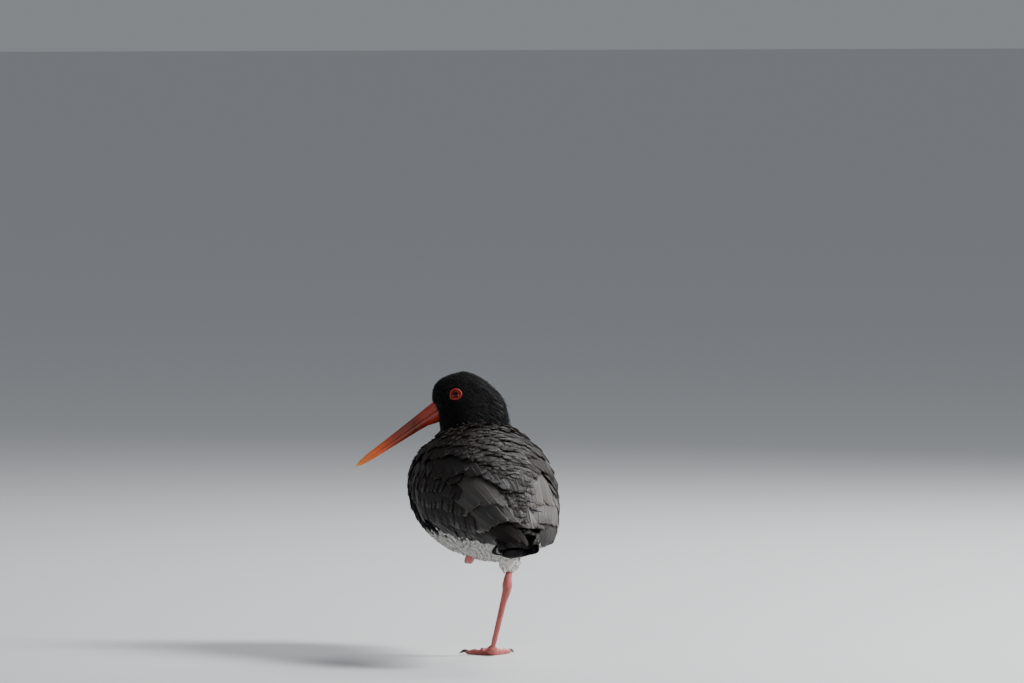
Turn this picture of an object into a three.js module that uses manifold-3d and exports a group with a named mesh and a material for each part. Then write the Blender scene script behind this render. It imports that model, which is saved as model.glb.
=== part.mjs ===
// A life-size oystercatcher at rest: it stands on its right leg, with the left foot tucked up in the belly
// feathers and the head turned to the left. Millimetres, +Z up. The tail points along +Y, the breast along
// -Y and the bird's left side is +X. The soles are at Z = 0, and the finished group is moved so that its
// origin is the middle of the floor under it.
import * as THREE from "three";
import { mergeVertices } from "three/addons/utils/BufferGeometryUtils.js";
import Module from "manifold-3d";

const wasm = await Module();
wasm.setup();
const { Manifold, Mesh: SolidMesh } = wasm;

const { sin, cos, acos, abs, sqrt, max, min, PI, sign, hypot } = Math;
const { lerp, degToRad, clamp, smoothstep } = THREE.MathUtils;
const v3 = (x, y, z) => new THREE.Vector3(x, y, z);

// Clearance that neighbouring parts keep
const GAP = 0.3;

// Whole body with its wings folded, at stations from the breast to the wing tips
const WHOLE = {
  y: [-113, -80, -50, -20, 10, 40, 70, 95, 120, 140, 156],
  half: [52, 54, 55, 54, 48.5, 42.5, 36, 30, 23, 15, 9],
  low: [86, 80, 76, 74, 75, 78, 83, 87, 89, 88, 85],
  level: [134, 131, 128, 125, 121, 117, 112, 106, 100, 95, 91],
  high: [178, 179, 179, 173, 163, 151.5, 139.5, 127.5, 115, 104, 95],
};
const BREAST_Y = -113;
const BREAST_ROUND = 50;
const TIPS_Y = 160;
const TIPS_ROUND = 4;

// Torso under the wings
const RUMP_Y = 116;
const RUMP_ROUND = 34;
const TORSO = {
  y: [-113, -80, -50, -20, 10, 40, 70, 95, 116],
  half: [51, 51, 49.5, 47, 41.5, 35.5, 29.5, 25, 22],
  low: [86, 80, 76, 74, 75, 78, 83, 87.5, 90],
  level: [134, 131, 128, 125, 120, 115, 109, 104, 100],
  high: [178, 179, 177.5, 170, 158.5, 145.5, 132, 119, 110],
};

// Neck and head, as level sections: middle and half length along the bill's bearing, half width, and how
// much narrower the face is than the back of the head
const HEAD_TURN = degToRad(78);
const NECK_Y = -63.3;
const NECK = {
  z: [146, 158, 166, 173, 179, 186, 194, 202, 209, 214.5, 218.4],
  mid: [2, 1, 0.5, 1.6, 3, 5, 7, 9.6, 12, 12, 10.4],
  long: [43, 37, 31, 27.6, 27.4, 28.6, 28.6, 26.2, 21, 13.6, 4],
  wide: [42, 35, 28.5, 24, 21.8, 19.6, 18.4, 17.2, 14.4, 10.4, 4],
  point: [0, 0, 0.02, 0.08, 0.16, 0.24, 0.26, 0.24, 0.2, 0.12, 0],
};
const CROWN_Z = 219;
const CROWN_ROUND = 4;
const NECK_ROUND = 3;

// Cuts between neck and torso, square to a leaning line, and between head and neck, nearly level
const NECK_CUT = { z: 171, lean: [0, -0.42, 0.9] };
const THROAT_CUT = { z: 175.2, slope: -0.03 };

// Bill, measured along its axis from the feather line to the tip
const BILL_DROP = degToRad(35.2);
const BILL_BASE = { along: 35.6, z: 185.8 };
const BILL_LENGTH = 72.5;
const BILL_ROOT = 8;
const BILL = {
  s: [-8, 0, 8, 16, 30, 47, 60, 67, 71.5, 72.5],
  up: [6.6, 6.3, 5.7, 5.2, 4.4, 3.5, 3, 2.1, 0.9, 0.5],
  down: [9.4, 9, 6.4, 5.5, 4.7, 3.7, 3, 2, 0.9, 0.5],
  wide: [5.6, 4.9, 3.7, 3.0, 2.3, 1.9, 1.5, 1.1, 0.7, 0.5],
};
const MOUTH_UP = -0.4;
const NOSTRIL = { from: 7, to: 17, height: 1.6, depth: 1.2 };

// Eyes, in the head's own directions
const EYE = { along: 17.4, z: 201.6, radius: 4.7, bulge: 1.3, ring: 4.3, tube: 0.9 };

// Standing leg, from the belly to the floor
const KNEE = v3(-12, 4, 84);
const BARE_TOP = v3(-9.6, 12, 66);
const ANKLE = v3(-7.4, 15, 56);
const FOOT = v3(0.8, -2.5, 4.6);
const TOE_SPLAY = [38, 1, -41];
const TOE_LENGTH = [27, 34, 29];
const TOE_NAMES = ["inner", "middle", "outer"];
const TOE_RADIUS = 2.5;
const TOE_STUMP = 8.5;
const CLAW_LENGTH = 6.5;
const CLAW_ROOT = 2.6;

// Toes of the tucked foot: where they leave the belly, how far they drop and how far apart they are
const TUCKED = { x: 17, y: -14, z: 76.5, drop: 5.6, spread: 3.1 };

// Tail: a narrow fan of pairs of feathers turned to the left. Each pair is set further out, lower and shorter
// than the one above it, and the whole is arched across
const TAIL = {
  rootY: 96,
  tipY: 153,
  rootZ: 102,
  tipZ: 86.5,
  pairs: 6,
  fan: degToRad(1.2),
  bend: degToRad(18),
  half: 6.4,
  out: 1.6,
  down: 0.45,
  shorter: 3.2,
  archRadius: 400,
};

// Feathers: how thick a free blade is, how deep the rows and their roots sink into the wing, how high one
// edge lies over the next, and the columns of corners across a plain and a ridged vane
const BLADE = 0.8;
const FEATHER_STEP = 0.85;
const FEATHER_SINK = 0.7;
const FEATHER_TILT = 0.35;
const FLAT = [-1, 1];
const RIDGED = [-1, 0, 1];

// Folded wing as a curved plate on the torso, from the wrist back: its lower and upper edge as angles in
// degrees, and how deep it is
const WRIST_Y = -82;
const WING_END_Y = 134;
const WING = {
  y: [-82, -60, -30, 0, 30, 60, 90, 115, 134],
  low: [-8, -18, -24, -26, -27, -28, -29, -29, -24],
  high: [40, 66, 75, 80, 84, 86, 87, 88, 88],
  deep: [2.4, 4.4, 5.6, 5.8, 5.8, 5.6, 4.6, 3, 1.6],
};

// Rows of feathers of a wing, spread evenly between a first and a last one. A root or tip is a station and an
// angle in degrees
const WING_ROWS = {
  primaries: {
    count: 5,
    first: { root: [70, -17], tip: [128, -16], half: 6.2 },
    last: { root: [92, 38], tip: [155, 52], half: 5.2 },
    shape: { blade: BLADE, columns: FLAT },
  },
  secondaries: {
    count: 6,
    first: { root: [-22, -14], tip: [26, -25], half: 7 },
    last: { root: [62, -19], tip: [112, -30], half: 7 },
    shape: { columns: FLAT },
  },
  tertials: {
    count: 4,
    first: { root: [38, 8], tip: [106, 6], half: 9 },
    last: { root: [54, 66], tip: [132, 80], half: 8.5 },
    shape: { lift: [0.4, 0.5] },
  },
  greaterCoverts: {
    count: 7,
    first: { root: [-48, -8], tip: [-14, -17], half: 8 },
    last: { root: [44, 2], tip: [82, -6], half: 8 },
    shape: { lift: [0.3, 0.5], columns: FLAT },
  },
  scapulars: {
    count: 6,
    first: { root: [-40, 50], tip: [4, 38], half: 9.5 },
    last: { root: [20, 80], tip: [72, 82], half: 9 },
    shape: { lift: [0.5, 0.8] },
  },
};

// A smooth reading of one column of a table of stations
function reader(table, key) {
  const ats = Object.values(table)[0];
  const curve = new THREE.CubicInterpolant(ats, table[key], 1, new Float64Array(1));
  return (at) => curve.evaluate(clamp(at, ats[0], ats[ats.length - 1]))[0];
}

const readers = (table) =>
  Object.fromEntries(Object.keys(table).map((key) => [key, reader(table, key)]));

// How full a rounded end is at a distance from its tip
const roundEnd = (distance, length) =>
  distance >= length ? 1 : sqrt(max(0, 1 - (1 - distance / length) ** 2));

// A body surface: the point at a station and an angle round the section, 0 at the left side and 90 degrees
// at the back, moved out along the surface's normal
function bodySurface(table, front, frontRound, back, backRound) {
  const read = readers(table);
  const raw = (y, angle) => {
    const full = roundEnd(y - front, frontRound) * roundEnd(back - y, backRound);
    const level = read.level(y);
    const reach = sin(angle) > 0 ? read.high(y) - level : level - read.low(y);
    return v3(read.half(y) * full * cos(angle), y, level + reach * full * sin(angle));
  };
  return (y, angle, off = 0) => {
    const at = raw(y, angle);
    if (!off) return at;
    const h = 0.5;
    const alongY = raw(min(y + h, back - 0.01), angle).sub(raw(max(y - h, front + 0.01), angle));
    const round = raw(y, angle + 0.01).sub(raw(y, angle - 0.01));
    const normal = round.cross(alongY).normalize();
    const inward = normal.z * sin(angle) + normal.x * cos(angle) < 0;
    return at.addScaledVector(normal, inward ? -off : off);
  };
}

// A three.js sphere whose points are moved by a function of its latitude (0 to PI) and longitude
function formed(rings, sides, place) {
  const geometry = new THREE.SphereGeometry(1, sides, rings);
  const position = geometry.getAttribute("position");
  for (let i = 0; i < position.count; i++) {
    const ring = Math.floor(i / (sides + 1));
    const side = i % (sides + 1);
    const turn = ring === 0 || ring === rings ? 0 : (side % sides) * ((2 * PI) / sides);
    const point = place((ring / rings) * PI, turn);
    position.setXYZ(i, point.x, point.y, point.z);
  }
  return solid(geometry);
}

// A closed geometry as a solid with its faces pointing out
function solid(geometry) {
  const bare = new THREE.BufferGeometry();
  bare.setAttribute("position", geometry.getAttribute("position"));
  bare.setIndex(geometry.index);
  const merged = mergeVertices(bare, 1e-4);
  const corners = merged.index.array;
  const kept = [];
  for (let i = 0; i < corners.length; i += 3) {
    const [a, b, c] = [corners[i], corners[i + 1], corners[i + 2]];
    if (a !== b && b !== c && c !== a) kept.push(a, b, c);
  }
  const make = (triVerts) =>
    new Manifold(
      new SolidMesh({
        numProp: 3,
        vertProperties: new Float32Array(merged.attributes.position.array),
        triVerts: new Uint32Array(triVerts),
      }),
    );
  const made = make(kept);
  if (made.volume() > 0) return made;
  for (let i = 0; i < kept.length; i += 3) [kept[i + 1], kept[i + 2]] = [kept[i + 2], kept[i + 1]];
  return make(kept);
}

// The largest closed surface of a solid
const largest = (made) => made.decompose().reduce((a, b) => (a.volume() > b.volume() ? a : b));

const join = (pieces) => largest(Manifold.union(pieces));

// A tapered limb along a smooth path, with rounded ends: each stop is a point and two radii
function limb(stops, rings = 8, sides = 10, up = v3(0, 1, 0)) {
  const path = new THREE.CatmullRomCurve3(stops.map((stop) => stop[0]));
  const ats = stops.map((_, i) => i / (stops.length - 1));
  const wide = reader({ at: ats, wide: stops.map((stop) => stop[1]) }, "wide");
  const deep = reader({ at: ats, deep: stops.map((stop) => stop[2] ?? stop[1]) }, "deep");
  return formed(rings, sides, (latitude, turn) => {
    const t = (1 - cos(latitude)) / 2;
    const along = path.getTangent(t).normalize();
    const side = along.clone().cross(up).normalize();
    const top = side.clone().cross(along).normalize();
    const full = sqrt(sin(latitude));
    return path
      .getPoint(t)
      .addScaledVector(side, wide(t) * full * cos(turn))
      .addScaledVector(top, deep(t) * full * sin(turn));
  });
}

// A feather's vane: a thin closed plate of rows from root to tip, whose two faces are split alike.
// place(along, across, height) gives a point; along is 0 to 1, across is -1 to 1
const VANE_ROWS = [0, 0.55, 0.87, 1];
const VANE_WIDTH = [0.75, 1, 0.8, 0.24];

function vane(place, top, bottom, camber, columns) {
  const points = [];
  for (const face of [top, bottom])
    for (const [i, along] of VANE_ROWS.entries())
      for (const across of columns)
        points.push(place(along, across * VANE_WIDTH[i], face(along) + camber * (1 - abs(across))));
  const wide = columns.length;
  const perFace = VANE_ROWS.length * wide;
  const at = (row, column, face) => face * perFace + row * wide + column;
  const index = [];
  const quad = (a, b, c, d) => index.push(a, b, c, a, c, d);
  for (let row = 0; row + 1 < VANE_ROWS.length; row++) {
    for (let column = 0; column + 1 < wide; column++) {
      const [a, b] = [at(row, column, 0), at(row, column + 1, 0)];
      const [c, d] = [at(row + 1, column + 1, 0), at(row + 1, column, 0)];
      quad(a, b, c, d);
      const under = [a, c, b, a, d, c].map((corner) => corner + perFace);
      index.push(...under);
    }
    quad(at(row, 0, 0), at(row + 1, 0, 0), at(row + 1, 0, 1), at(row, 0, 1));
    quad(at(row + 1, wide - 1, 0), at(row, wide - 1, 0), at(row, wide - 1, 1), at(row + 1, wide - 1, 1));
  }
  const last = VANE_ROWS.length - 1;
  for (let column = 0; column + 1 < wide; column++) {
    quad(at(0, column + 1, 0), at(0, column, 0), at(0, column, 1), at(0, column + 1, 1));
    quad(at(last, column, 0), at(last, column + 1, 0), at(last, column + 1, 1), at(last, column, 1));
  }
  const geometry = new THREE.BufferGeometry().setFromPoints(points);
  geometry.setIndex(index);
  return solid(geometry);
}

const wholeSurface = bodySurface(WHOLE, BREAST_Y, BREAST_ROUND, TIPS_Y, TIPS_ROUND);
const torsoSurface = bodySurface(TORSO, BREAST_Y, BREAST_ROUND, RUMP_Y, RUMP_ROUND);

function torsoForm(grow) {
  const mid = (BREAST_Y + RUMP_Y) / 2;
  const half = (RUMP_Y - BREAST_Y) / 2;
  return formed(20, 26, (latitude, turn) => {
    const y = mid - half * cos(latitude);
    const point = torsoSurface(y, turn, latitude > 0.01 && latitude < PI - 0.01 ? grow : 0);
    if (latitude <= 0.01) point.y -= grow;
    if (latitude >= PI - 0.01) point.y += grow;
    return point;
  });
}

// Directions of the turned head: along the bill's bearing, and out of the head's left side
const headAlong = v3(sin(HEAD_TURN), -cos(HEAD_TURN), 0);
const headLeft = v3(cos(HEAD_TURN), sin(HEAD_TURN), 0);
const inHead = (along, out, z) =>
  v3(0, NECK_Y, z).addScaledVector(headAlong, along).addScaledVector(headLeft, out);

const neckRead = readers(NECK);

function headSkin(turn, z, full = 1) {
  const narrow = 1 - neckRead.point(z) * cos(turn);
  const along = neckRead.mid(z) + neckRead.long(z) * full * cos(turn);
  return inHead(along, neckRead.wide(z) * full * narrow * sin(turn), z);
}

function neckForm() {
  const low = NECK.z[0];
  return formed(16, 18, (latitude, turn) => {
    const z = lerp(low, CROWN_Z, (1 - cos(latitude)) / 2);
    const middle = (low + CROWN_Z) / 2;
    return headSkin(turn, z, z > middle ? roundEnd(CROWN_Z - z, CROWN_ROUND) : roundEnd(z - low, NECK_ROUND));
  });
}

// The part of a solid on the side of a plane that its normal points to, half a gap away from the plane
function beyond(whole, point, normal) {
  const n = normal.clone().normalize();
  return largest(whole.trimByPlane([n.x, n.y, n.z], n.dot(point) + GAP / 2));
}

// Both parts of a solid cut by a plane, the one that the normal points to first
const parted = (whole, point, normal) => [
  beyond(whole, point, normal),
  beyond(whole, point, normal.clone().negate()),
];

// The bill, in the head's middle plane
const billAlong = headAlong.clone().multiplyScalar(cos(BILL_DROP)).add(v3(0, 0, -sin(BILL_DROP)));
const billUp = headAlong.clone().multiplyScalar(sin(BILL_DROP)).add(v3(0, 0, cos(BILL_DROP)));
const billRead = readers(BILL);

function billPoint(s, out, up) {
  return inHead(BILL_BASE.along, 0, BILL_BASE.z)
    .addScaledVector(billAlong, s)
    .addScaledVector(headLeft, out)
    .addScaledVector(billUp, up);
}

function billForm(grow) {
  const half = (BILL_LENGTH + BILL_ROOT) / 2 + grow;
  return formed(15, 14, (latitude, turn) => {
    const s = half - grow - BILL_ROOT - half * cos(latitude);
    const full = min(1, sin(latitude) * 3);
    const height = sin(turn) > 0 ? billRead.up(s) : billRead.down(s);
    const out = sign(cos(turn)) * abs(cos(turn)) ** 0.9 * (billRead.wide(s) * full + grow);
    return billPoint(s, out, sin(turn) * (height * full + grow));
  });
}

function nostril(side) {
  const { from, to, height, depth } = NOSTRIL;
  return limb(
    [from, (from + to) / 2, to].map((s) => [
      billPoint(s, side * billRead.wide(s) * 0.97, height),
      depth * 0.55,
      depth * 0.5,
    ]),
    6,
    6,
    v3(0, 0, 1),
  );
}

// Where an eye sits on the head, and the way it looks
function eyeSeat(side) {
  const turn = side * acos((EYE.along - neckRead.mid(EYE.z)) / neckRead.long(EYE.z));
  const at = headSkin(turn, EYE.z);
  const level = headSkin(turn + 0.05, EYE.z).sub(headSkin(turn - 0.05, EYE.z));
  const upright = headSkin(turn, EYE.z + 2).sub(headSkin(turn, EYE.z - 2));
  return { at, look: level.cross(upright).normalize() };
}

function eyeBall(side, grow) {
  const { at, look } = eyeSeat(side);
  const middle = at.addScaledVector(look, EYE.bulge - EYE.radius);
  const ball = new THREE.SphereGeometry(EYE.radius + grow, 14, 9);
  return solid(ball.translate(middle.x, middle.y, middle.z));
}

function eyeRing(side, grow) {
  const { at, look } = eyeSeat(side);
  const ring = new THREE.TorusGeometry(EYE.ring, EYE.tube + grow, 6, 14);
  ring.applyMatrix4(new THREE.Matrix4().lookAt(look, v3(0, 0, 0), v3(0, 0, 1)));
  return solid(ring.translate(at.x, at.y, at.z));
}

const wingRead = readers(WING);

// How much deeper the plate of a wing reaches under its middle
const underCore = (y) => lerp(3.2, 0.9, smoothstep(y, 70, 118));

// The plate that the feathers of the left wing are rooted in
function wingCore() {
  return formed(12, 12, (latitude, turn) => {
    const t = (1 - cos(latitude)) / 2;
    const y = lerp(WRIST_Y, WING_END_Y, t);
    const open = roundEnd(y - WRIST_Y, 30) * roundEnd(WING_END_Y - y, 26);
    const low = degToRad(wingRead.low(y));
    const high = degToRad(wingRead.high(y));
    const across = 1 - abs(turn / PI - 1);
    const angle = (low + high) / 2 + (high - low) * open * (across - 0.5);
    const deep = wingRead.deep(y);
    const rise = sin(turn) > 0 ? deep * sqrt(sin(turn)) * min(1, open * 1.4) : 0;
    const under = sin(turn) < 0 ? -underCore(y) * sqrt(-sin(turn)) : 0;
    return wholeSurface(y, angle, rise - deep - FEATHER_STEP + under);
  });
}

// A feather laid on the folded body. lift raises its root and tip, and blade is its thickness where it is
// free of the wing
function laidVane({ root, tip, half, lift = [0, 0], blade = 0, columns = RIDGED }) {
  const place = (along, across, height) => {
    const y = lerp(root[0], tip[0], along);
    const angle = degToRad(lerp(root[1], tip[1], along));
    const on = wholeSurface(y, angle);
    const perRadian = wholeSurface(y, angle + 0.01).sub(on).length() / 0.01;
    const run = tip[0] - root[0];
    const rise = degToRad(tip[1] - root[1]) * perRadian;
    const length = hypot(run, rise);
    const shiftY = (-rise / length) * across * half;
    const shiftAngle = ((run / length) * across * half) / perRadian;
    return wholeSurface(min(y + shiftY, TIPS_Y - 1), angle + shiftAngle, height - FEATHER_TILT * across);
  };
  const raised = (along) => lerp(lift[0], lift[1], along);
  const bed = -FEATHER_STEP - FEATHER_SINK;
  const top = (along) => lerp(bed, 0, along ** 0.8) + raised(along);
  const bottom = (along) => (blade ? top(along) - blade : min(top(along) - 0.5, bed + raised(along)));
  return vane(place, top, bottom, 0.35, columns);
}

// The feathers of a row
const rowOf = ({ count, first, last, shape }) =>
  Array.from({ length: count }, (_, i) => {
    const t = i / (count - 1);
    const between = (a, b) => a.map((value, k) => lerp(value, b[k], t));
    return {
      root: between(first.root, last.root),
      tip: between(first.tip, last.tip),
      half: lerp(first.half, last.half, t),
      ...shape,
    };
  });

// A wing with its feathers, clear of what lies inside it. side is 1 for the left and -1 for the right
function wing(side, inner) {
  const feathers = Object.values(WING_ROWS).flatMap(rowOf).map(laidVane);
  const whole = Manifold.union([wingCore(), ...feathers]).subtract(inner);
  const made = largest(whole.trimByPlane([1, 0, 0], GAP / 2));
  return side > 0 ? made : made.mirror([1, 0, 0]);
}

// One feather of the tail's fan, counted from the middle pair on top
function tailFeather(index, side, grow) {
  const { rootY, tipY, rootZ, tipZ, fan, bend, half, out: spacing, down, shorter, archRadius } = TAIL;
  const turn = -side * fan * (index + 0.5) - bend;
  const length = tipY - rootY - index * shorter;
  const place = (along, across, height) => {
    const reach = along * (length + grow);
    const out = across * (half + grow);
    const x = side * index * spacing - reach * sin(turn) + out * cos(turn);
    const y = rootY + reach * cos(turn) + out * sin(turn);
    const arch = -((x - reach * sin(bend)) ** 2) / (2 * archRadius);
    const slope = (reach / (tipY - rootY)) * (tipZ - rootZ);
    return v3(x, y, rootZ + slope + arch + height - index * down);
  };
  return vane(place, () => grow, () => -BLADE - grow, 0.25, FLAT);
}

// The tail: its tapered root under the rump and the fan
function tailForm(grow) {
  const root = limb(
    [
      [v3(0, 84, 102), 19 + grow, 9 + grow],
      [v3(0, 104, 99.5), 18 + grow, 6.5 + grow],
      [v3(0, 122 + grow, 95), 15 + grow, 3.2 + grow],
    ],
    8,
    16,
    v3(0, 0, 1),
  );
  const feathers = [];
  for (let index = 0; index < TAIL.pairs; index++)
    for (const side of [-1, 1]) feathers.push(tailFeather(index, side, grow));
  return Manifold.union([root, ...feathers]);
}

// Standing leg, whose feathers end a little below the top of the bare part
const BARE_END = BARE_TOP.clone().lerp(ANKLE, 0.25);

const thighForm = () =>
  limb(
    [
      [KNEE, 10.5, 14],
      [KNEE.clone().lerp(BARE_TOP, 0.5), 7.4, 9.6],
      [BARE_TOP, 4.6, 5],
      [BARE_END, 3.6, 3.9],
    ],
    10,
    14,
  );

const shifted = (point, x, y, z) => point.clone().add(v3(x, y, z));

// The bare leg in one: shin, ankle, tarsus and the ball of the foot
const shinForm = () =>
  join([
    limb([[BARE_TOP.clone().lerp(KNEE, 0.15), 2.8, 3], [ANKLE, 2.9, 3.4]], 5, 10),
    limb(
      [
        [shifted(ANKLE, -0.8, -1.6, 7.5), 2.8, 3.2],
        [ANKLE, 4, 5.1],
        [shifted(ANKLE, 1, -0.4, -7.5), 2.8, 3.2],
      ],
      7,
      10,
    ),
    limb([[ANKLE, 2.9, 3.5], [ANKLE.clone().lerp(FOOT, 0.5), 2.4, 3.1], [FOOT, 3.2, 3.5]], 7, 10),
    limb([[shifted(FOOT, 0.2, 1.6, 3.2), 4, 3.6], [shifted(FOOT, 0, -6.5, -2.2), 4.8, 3]], 6, 10),
  ]);

function toeDirection(index) {
  const turn = degToRad(TOE_SPLAY[index]);
  return v3(sin(turn), -cos(turn), 0);
}

// A point on the floor under a toe, at a distance from the middle of the foot
const underToe = (index, distance) =>
  v3(FOOT.x, FOOT.y - 1, 0).addScaledVector(toeDirection(index), distance);

// A toe with a swelling at each joint
function toeForm(index) {
  const swell = (t) => 1 + 0.1 * cos(t * PI * 6);
  const stops = [0, 0.17, 0.33, 0.5, 0.67, 0.83, 1].map((t) => {
    const radius = TOE_RADIUS * lerp(1.12, 0.8, t) * swell(t);
    return [underToe(index, t * TOE_LENGTH[index]).setZ(radius * 0.84), radius * 1.02, radius];
  });
  return limb(stops, 12, 8, v3(0, 0, 1));
}

function clawForm(index, grow) {
  const at = (t, z) =>
    underToe(index, TOE_LENGTH[index] - CLAW_ROOT + t * (CLAW_LENGTH + CLAW_ROOT)).setZ(z);
  return limb(
    [
      [at(0, 2.4), 1.25 + grow, 1.3 + grow],
      [at(0.5, 2.2), 1.05 + grow, 1.1 + grow],
      [at(1, 0.3), 0.45 + grow, 0.5 + grow],
    ],
    7,
    8,
    v3(0, 0, 1),
  );
}

// The web at the root of the outer and middle toes
function webForm() {
  const end = underToe(1, 4).addScaledVector(toeDirection(2), 4);
  return limb(
    [
      [underToe(1, 0).setZ(1.7), 2, 1.5],
      [end.setZ(1.7), 3, 1.1],
    ],
    6,
    8,
    v3(0, 0, 1),
  );
}

// Toes curled under the belly feathers, two knuckles showing
function tuckedForm(grow) {
  const { x, y, z, drop, spread } = TUCKED;
  const knuckle = (shift, lower) =>
    limb(
      [
        [v3(x + shift, y + 9, z + 2), 3 + grow, 3 + grow],
        [v3(x + shift, y, z - drop * 0.55), 2.9 + grow, 2.8 + grow],
        [v3(x + shift * 0.8, y - 6.5, z - drop + lower), 1.9 + grow, 2 + grow],
      ],
      8,
      10,
      v3(0, 0, 1),
    );
  return join([knuckle(-spread / 2, 0), knuckle(spread / 2, 0.6)]);
}

// The parts, cut from their whole forms
const aboveFloor = (made) => largest(made.trimByPlane([0, 0, 1], 0));

// The torso's flat facets dip under its curves, so it is grown by a little more than the gap
const FACET_DIP = 0.05;
const torsoGrown = torsoForm(GAP + FACET_DIP);
const underWings = torsoGrown.add(tailForm(GAP));
const bodyWhole = join([torsoForm(0), neckForm()]);
const [neckAndHead, torsoWhole] = parted(bodyWhole, v3(0, NECK_Y, NECK_CUT.z), v3(...NECK_CUT.lean));
const throatUp = headAlong.clone().multiplyScalar(THROAT_CUT.slope).add(v3(0, 0, 1));
const [headWhole, neck] = parted(neckAndHead, v3(0, NECK_Y, THROAT_CUT.z), throatUp);

const [billUpperWhole, billLower] = parted(billForm(0), billPoint(0, 0, MOUTH_UP), billUp);
const billUpper = largest(billUpperWhole.subtract(Manifold.union([nostril(1), nostril(-1)])));
const sockets = [-1, 1].flatMap((side) => [eyeBall(side, GAP), eyeRing(side, GAP)]);
const head = largest(headWhole.subtract(Manifold.union([billForm(GAP), ...sockets])));

const legUp = BARE_END.clone().sub(ANKLE);
const thigh = largest(beyond(thighForm(), BARE_TOP, legUp).subtract(torsoGrown));
const legSolid = beyond(shinForm(), BARE_TOP, legUp.clone().negate());
const [shank, ankleDown] = parted(legSolid, shifted(ANKLE, -0.5, -1, 5), legUp);
const [ankle, tarsusWhole] = parted(ankleDown, shifted(ANKLE, 0.5, -0.2, -5), ANKLE.clone().sub(FOOT));

const toeParts = TOE_NAMES.map((_, index) =>
  parted(toeForm(index), underToe(index, TOE_STUMP), toeDirection(index)),
);
const claws = TOE_NAMES.map((_, index) => aboveFloor(clawForm(index, 0)));
const toes = toeParts.map(([toe], index) => aboveFloor(toe.subtract(clawForm(index, GAP))));
const footWhole = Manifold.union([tarsusWhole, webForm(), ...toeParts.map(([, stump]) => stump)]);
const tarsus = aboveFloor(footWhole);
const torso = largest(torsoWhole.subtract(tuckedForm(GAP)));

const FEATHER_BLACK = new THREE.MeshStandardMaterial({ color: 0x101013, roughness: 0.55 });
const FEATHER_BROWN = new THREE.MeshStandardMaterial({ color: 0x2a2624, roughness: 0.5 });
const FEATHER_WHITE = new THREE.MeshStandardMaterial({ color: 0xe9e6df, roughness: 0.8 });
const BILL_ORANGE = new THREE.MeshStandardMaterial({ color: 0xd8431a, roughness: 0.35 });
const EYE_RED = new THREE.MeshStandardMaterial({ color: 0xa81410, roughness: 0.1 });
const RING_ORANGE = new THREE.MeshStandardMaterial({ color: 0xe0401c, roughness: 0.5 });
const LEG_PINK = new THREE.MeshStandardMaterial({ color: 0xb84a4a, roughness: 0.5 });
const CLAW_BLACK = new THREE.MeshStandardMaterial({ color: 0x1c1716, roughness: 0.4 });

const bird = new THREE.Group();

function add(name, made, material) {
  const mesh = made.getMesh();
  const geometry = new THREE.BufferGeometry();
  const points = new Float32Array(mesh.numVert * 3);
  for (let i = 0; i < mesh.numVert; i++)
    points.set(mesh.vertProperties.subarray(i * mesh.numProp, i * mesh.numProp + 3), i * 3);
  geometry.setAttribute("position", new THREE.BufferAttribute(points, 3));
  geometry.setIndex(new THREE.BufferAttribute(mesh.triVerts, 1));
  geometry.computeVertexNormals();
  const node = new THREE.Mesh(geometry, material);
  node.name = name;
  bird.add(node);
}

add("head", head, FEATHER_BLACK);
add("neck", neck, FEATHER_BLACK);
add("torso", torso, FEATHER_BLACK);
add("bill_upper", billUpper, BILL_ORANGE);
add("bill_lower", billLower, BILL_ORANGE);
for (const [side, name] of [[1, "left"], [-1, "right"]]) {
  add(`eye_${name}`, eyeBall(side, 0), EYE_RED);
  add(`eye_ring_${name}`, largest(eyeRing(side, 0).subtract(eyeBall(side, GAP))), RING_ORANGE);
  add(`wing_${name}`, wing(side, underWings), FEATHER_BROWN);
}
add("tail", largest(tailForm(0).subtract(torsoGrown)), FEATHER_BLACK);
add("thigh_right", thigh, FEATHER_WHITE);
add("shank_right", shank, LEG_PINK);
add("ankle_right", ankle, LEG_PINK);
add("tarsus_right", tarsus, LEG_PINK);
TOE_NAMES.forEach((name, index) => {
  add(`toe_${name}_right`, toes[index], LEG_PINK);
  add(`claw_${name}_right`, claws[index], CLAW_BLACK);
});
add("tucked_foot_left", tuckedForm(0), LEG_PINK);

const box = new THREE.Box3().setFromObject(bird);
const middle = box.getCenter(v3(0, 0, 0));
bird.position.set(-middle.x, -middle.y, 0);

export default bird;
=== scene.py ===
"""Dresses the solids of a resting oystercatcher with skin, plumage, bill, eyes, legs and a stage."""

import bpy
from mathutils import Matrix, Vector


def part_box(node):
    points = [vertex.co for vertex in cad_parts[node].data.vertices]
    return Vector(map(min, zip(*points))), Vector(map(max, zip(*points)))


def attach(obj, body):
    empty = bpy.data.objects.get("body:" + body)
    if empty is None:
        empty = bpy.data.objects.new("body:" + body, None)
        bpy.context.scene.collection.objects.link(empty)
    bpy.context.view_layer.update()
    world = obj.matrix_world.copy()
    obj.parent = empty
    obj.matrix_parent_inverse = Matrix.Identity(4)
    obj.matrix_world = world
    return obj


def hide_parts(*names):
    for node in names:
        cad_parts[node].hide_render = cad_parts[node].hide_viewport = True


bl_info = {
    "name": "Resting Oystercatcher",
    "version": (1, 0, 0),
    "blender": (4, 5, 0),
    "location": "3D View > Sidebar > Oystercatcher",
    "description": "Builds the plumage, bill, eyes and legs of a resting oystercatcher",
    "category": "Object",
}

import math

import bmesh
import bpy
import numpy as np
from bpy.props import FloatProperty, FloatVectorProperty, IntProperty, PointerProperty
from mathutils import Matrix, Vector
from mathutils.bvhtree import BVHTree

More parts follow.
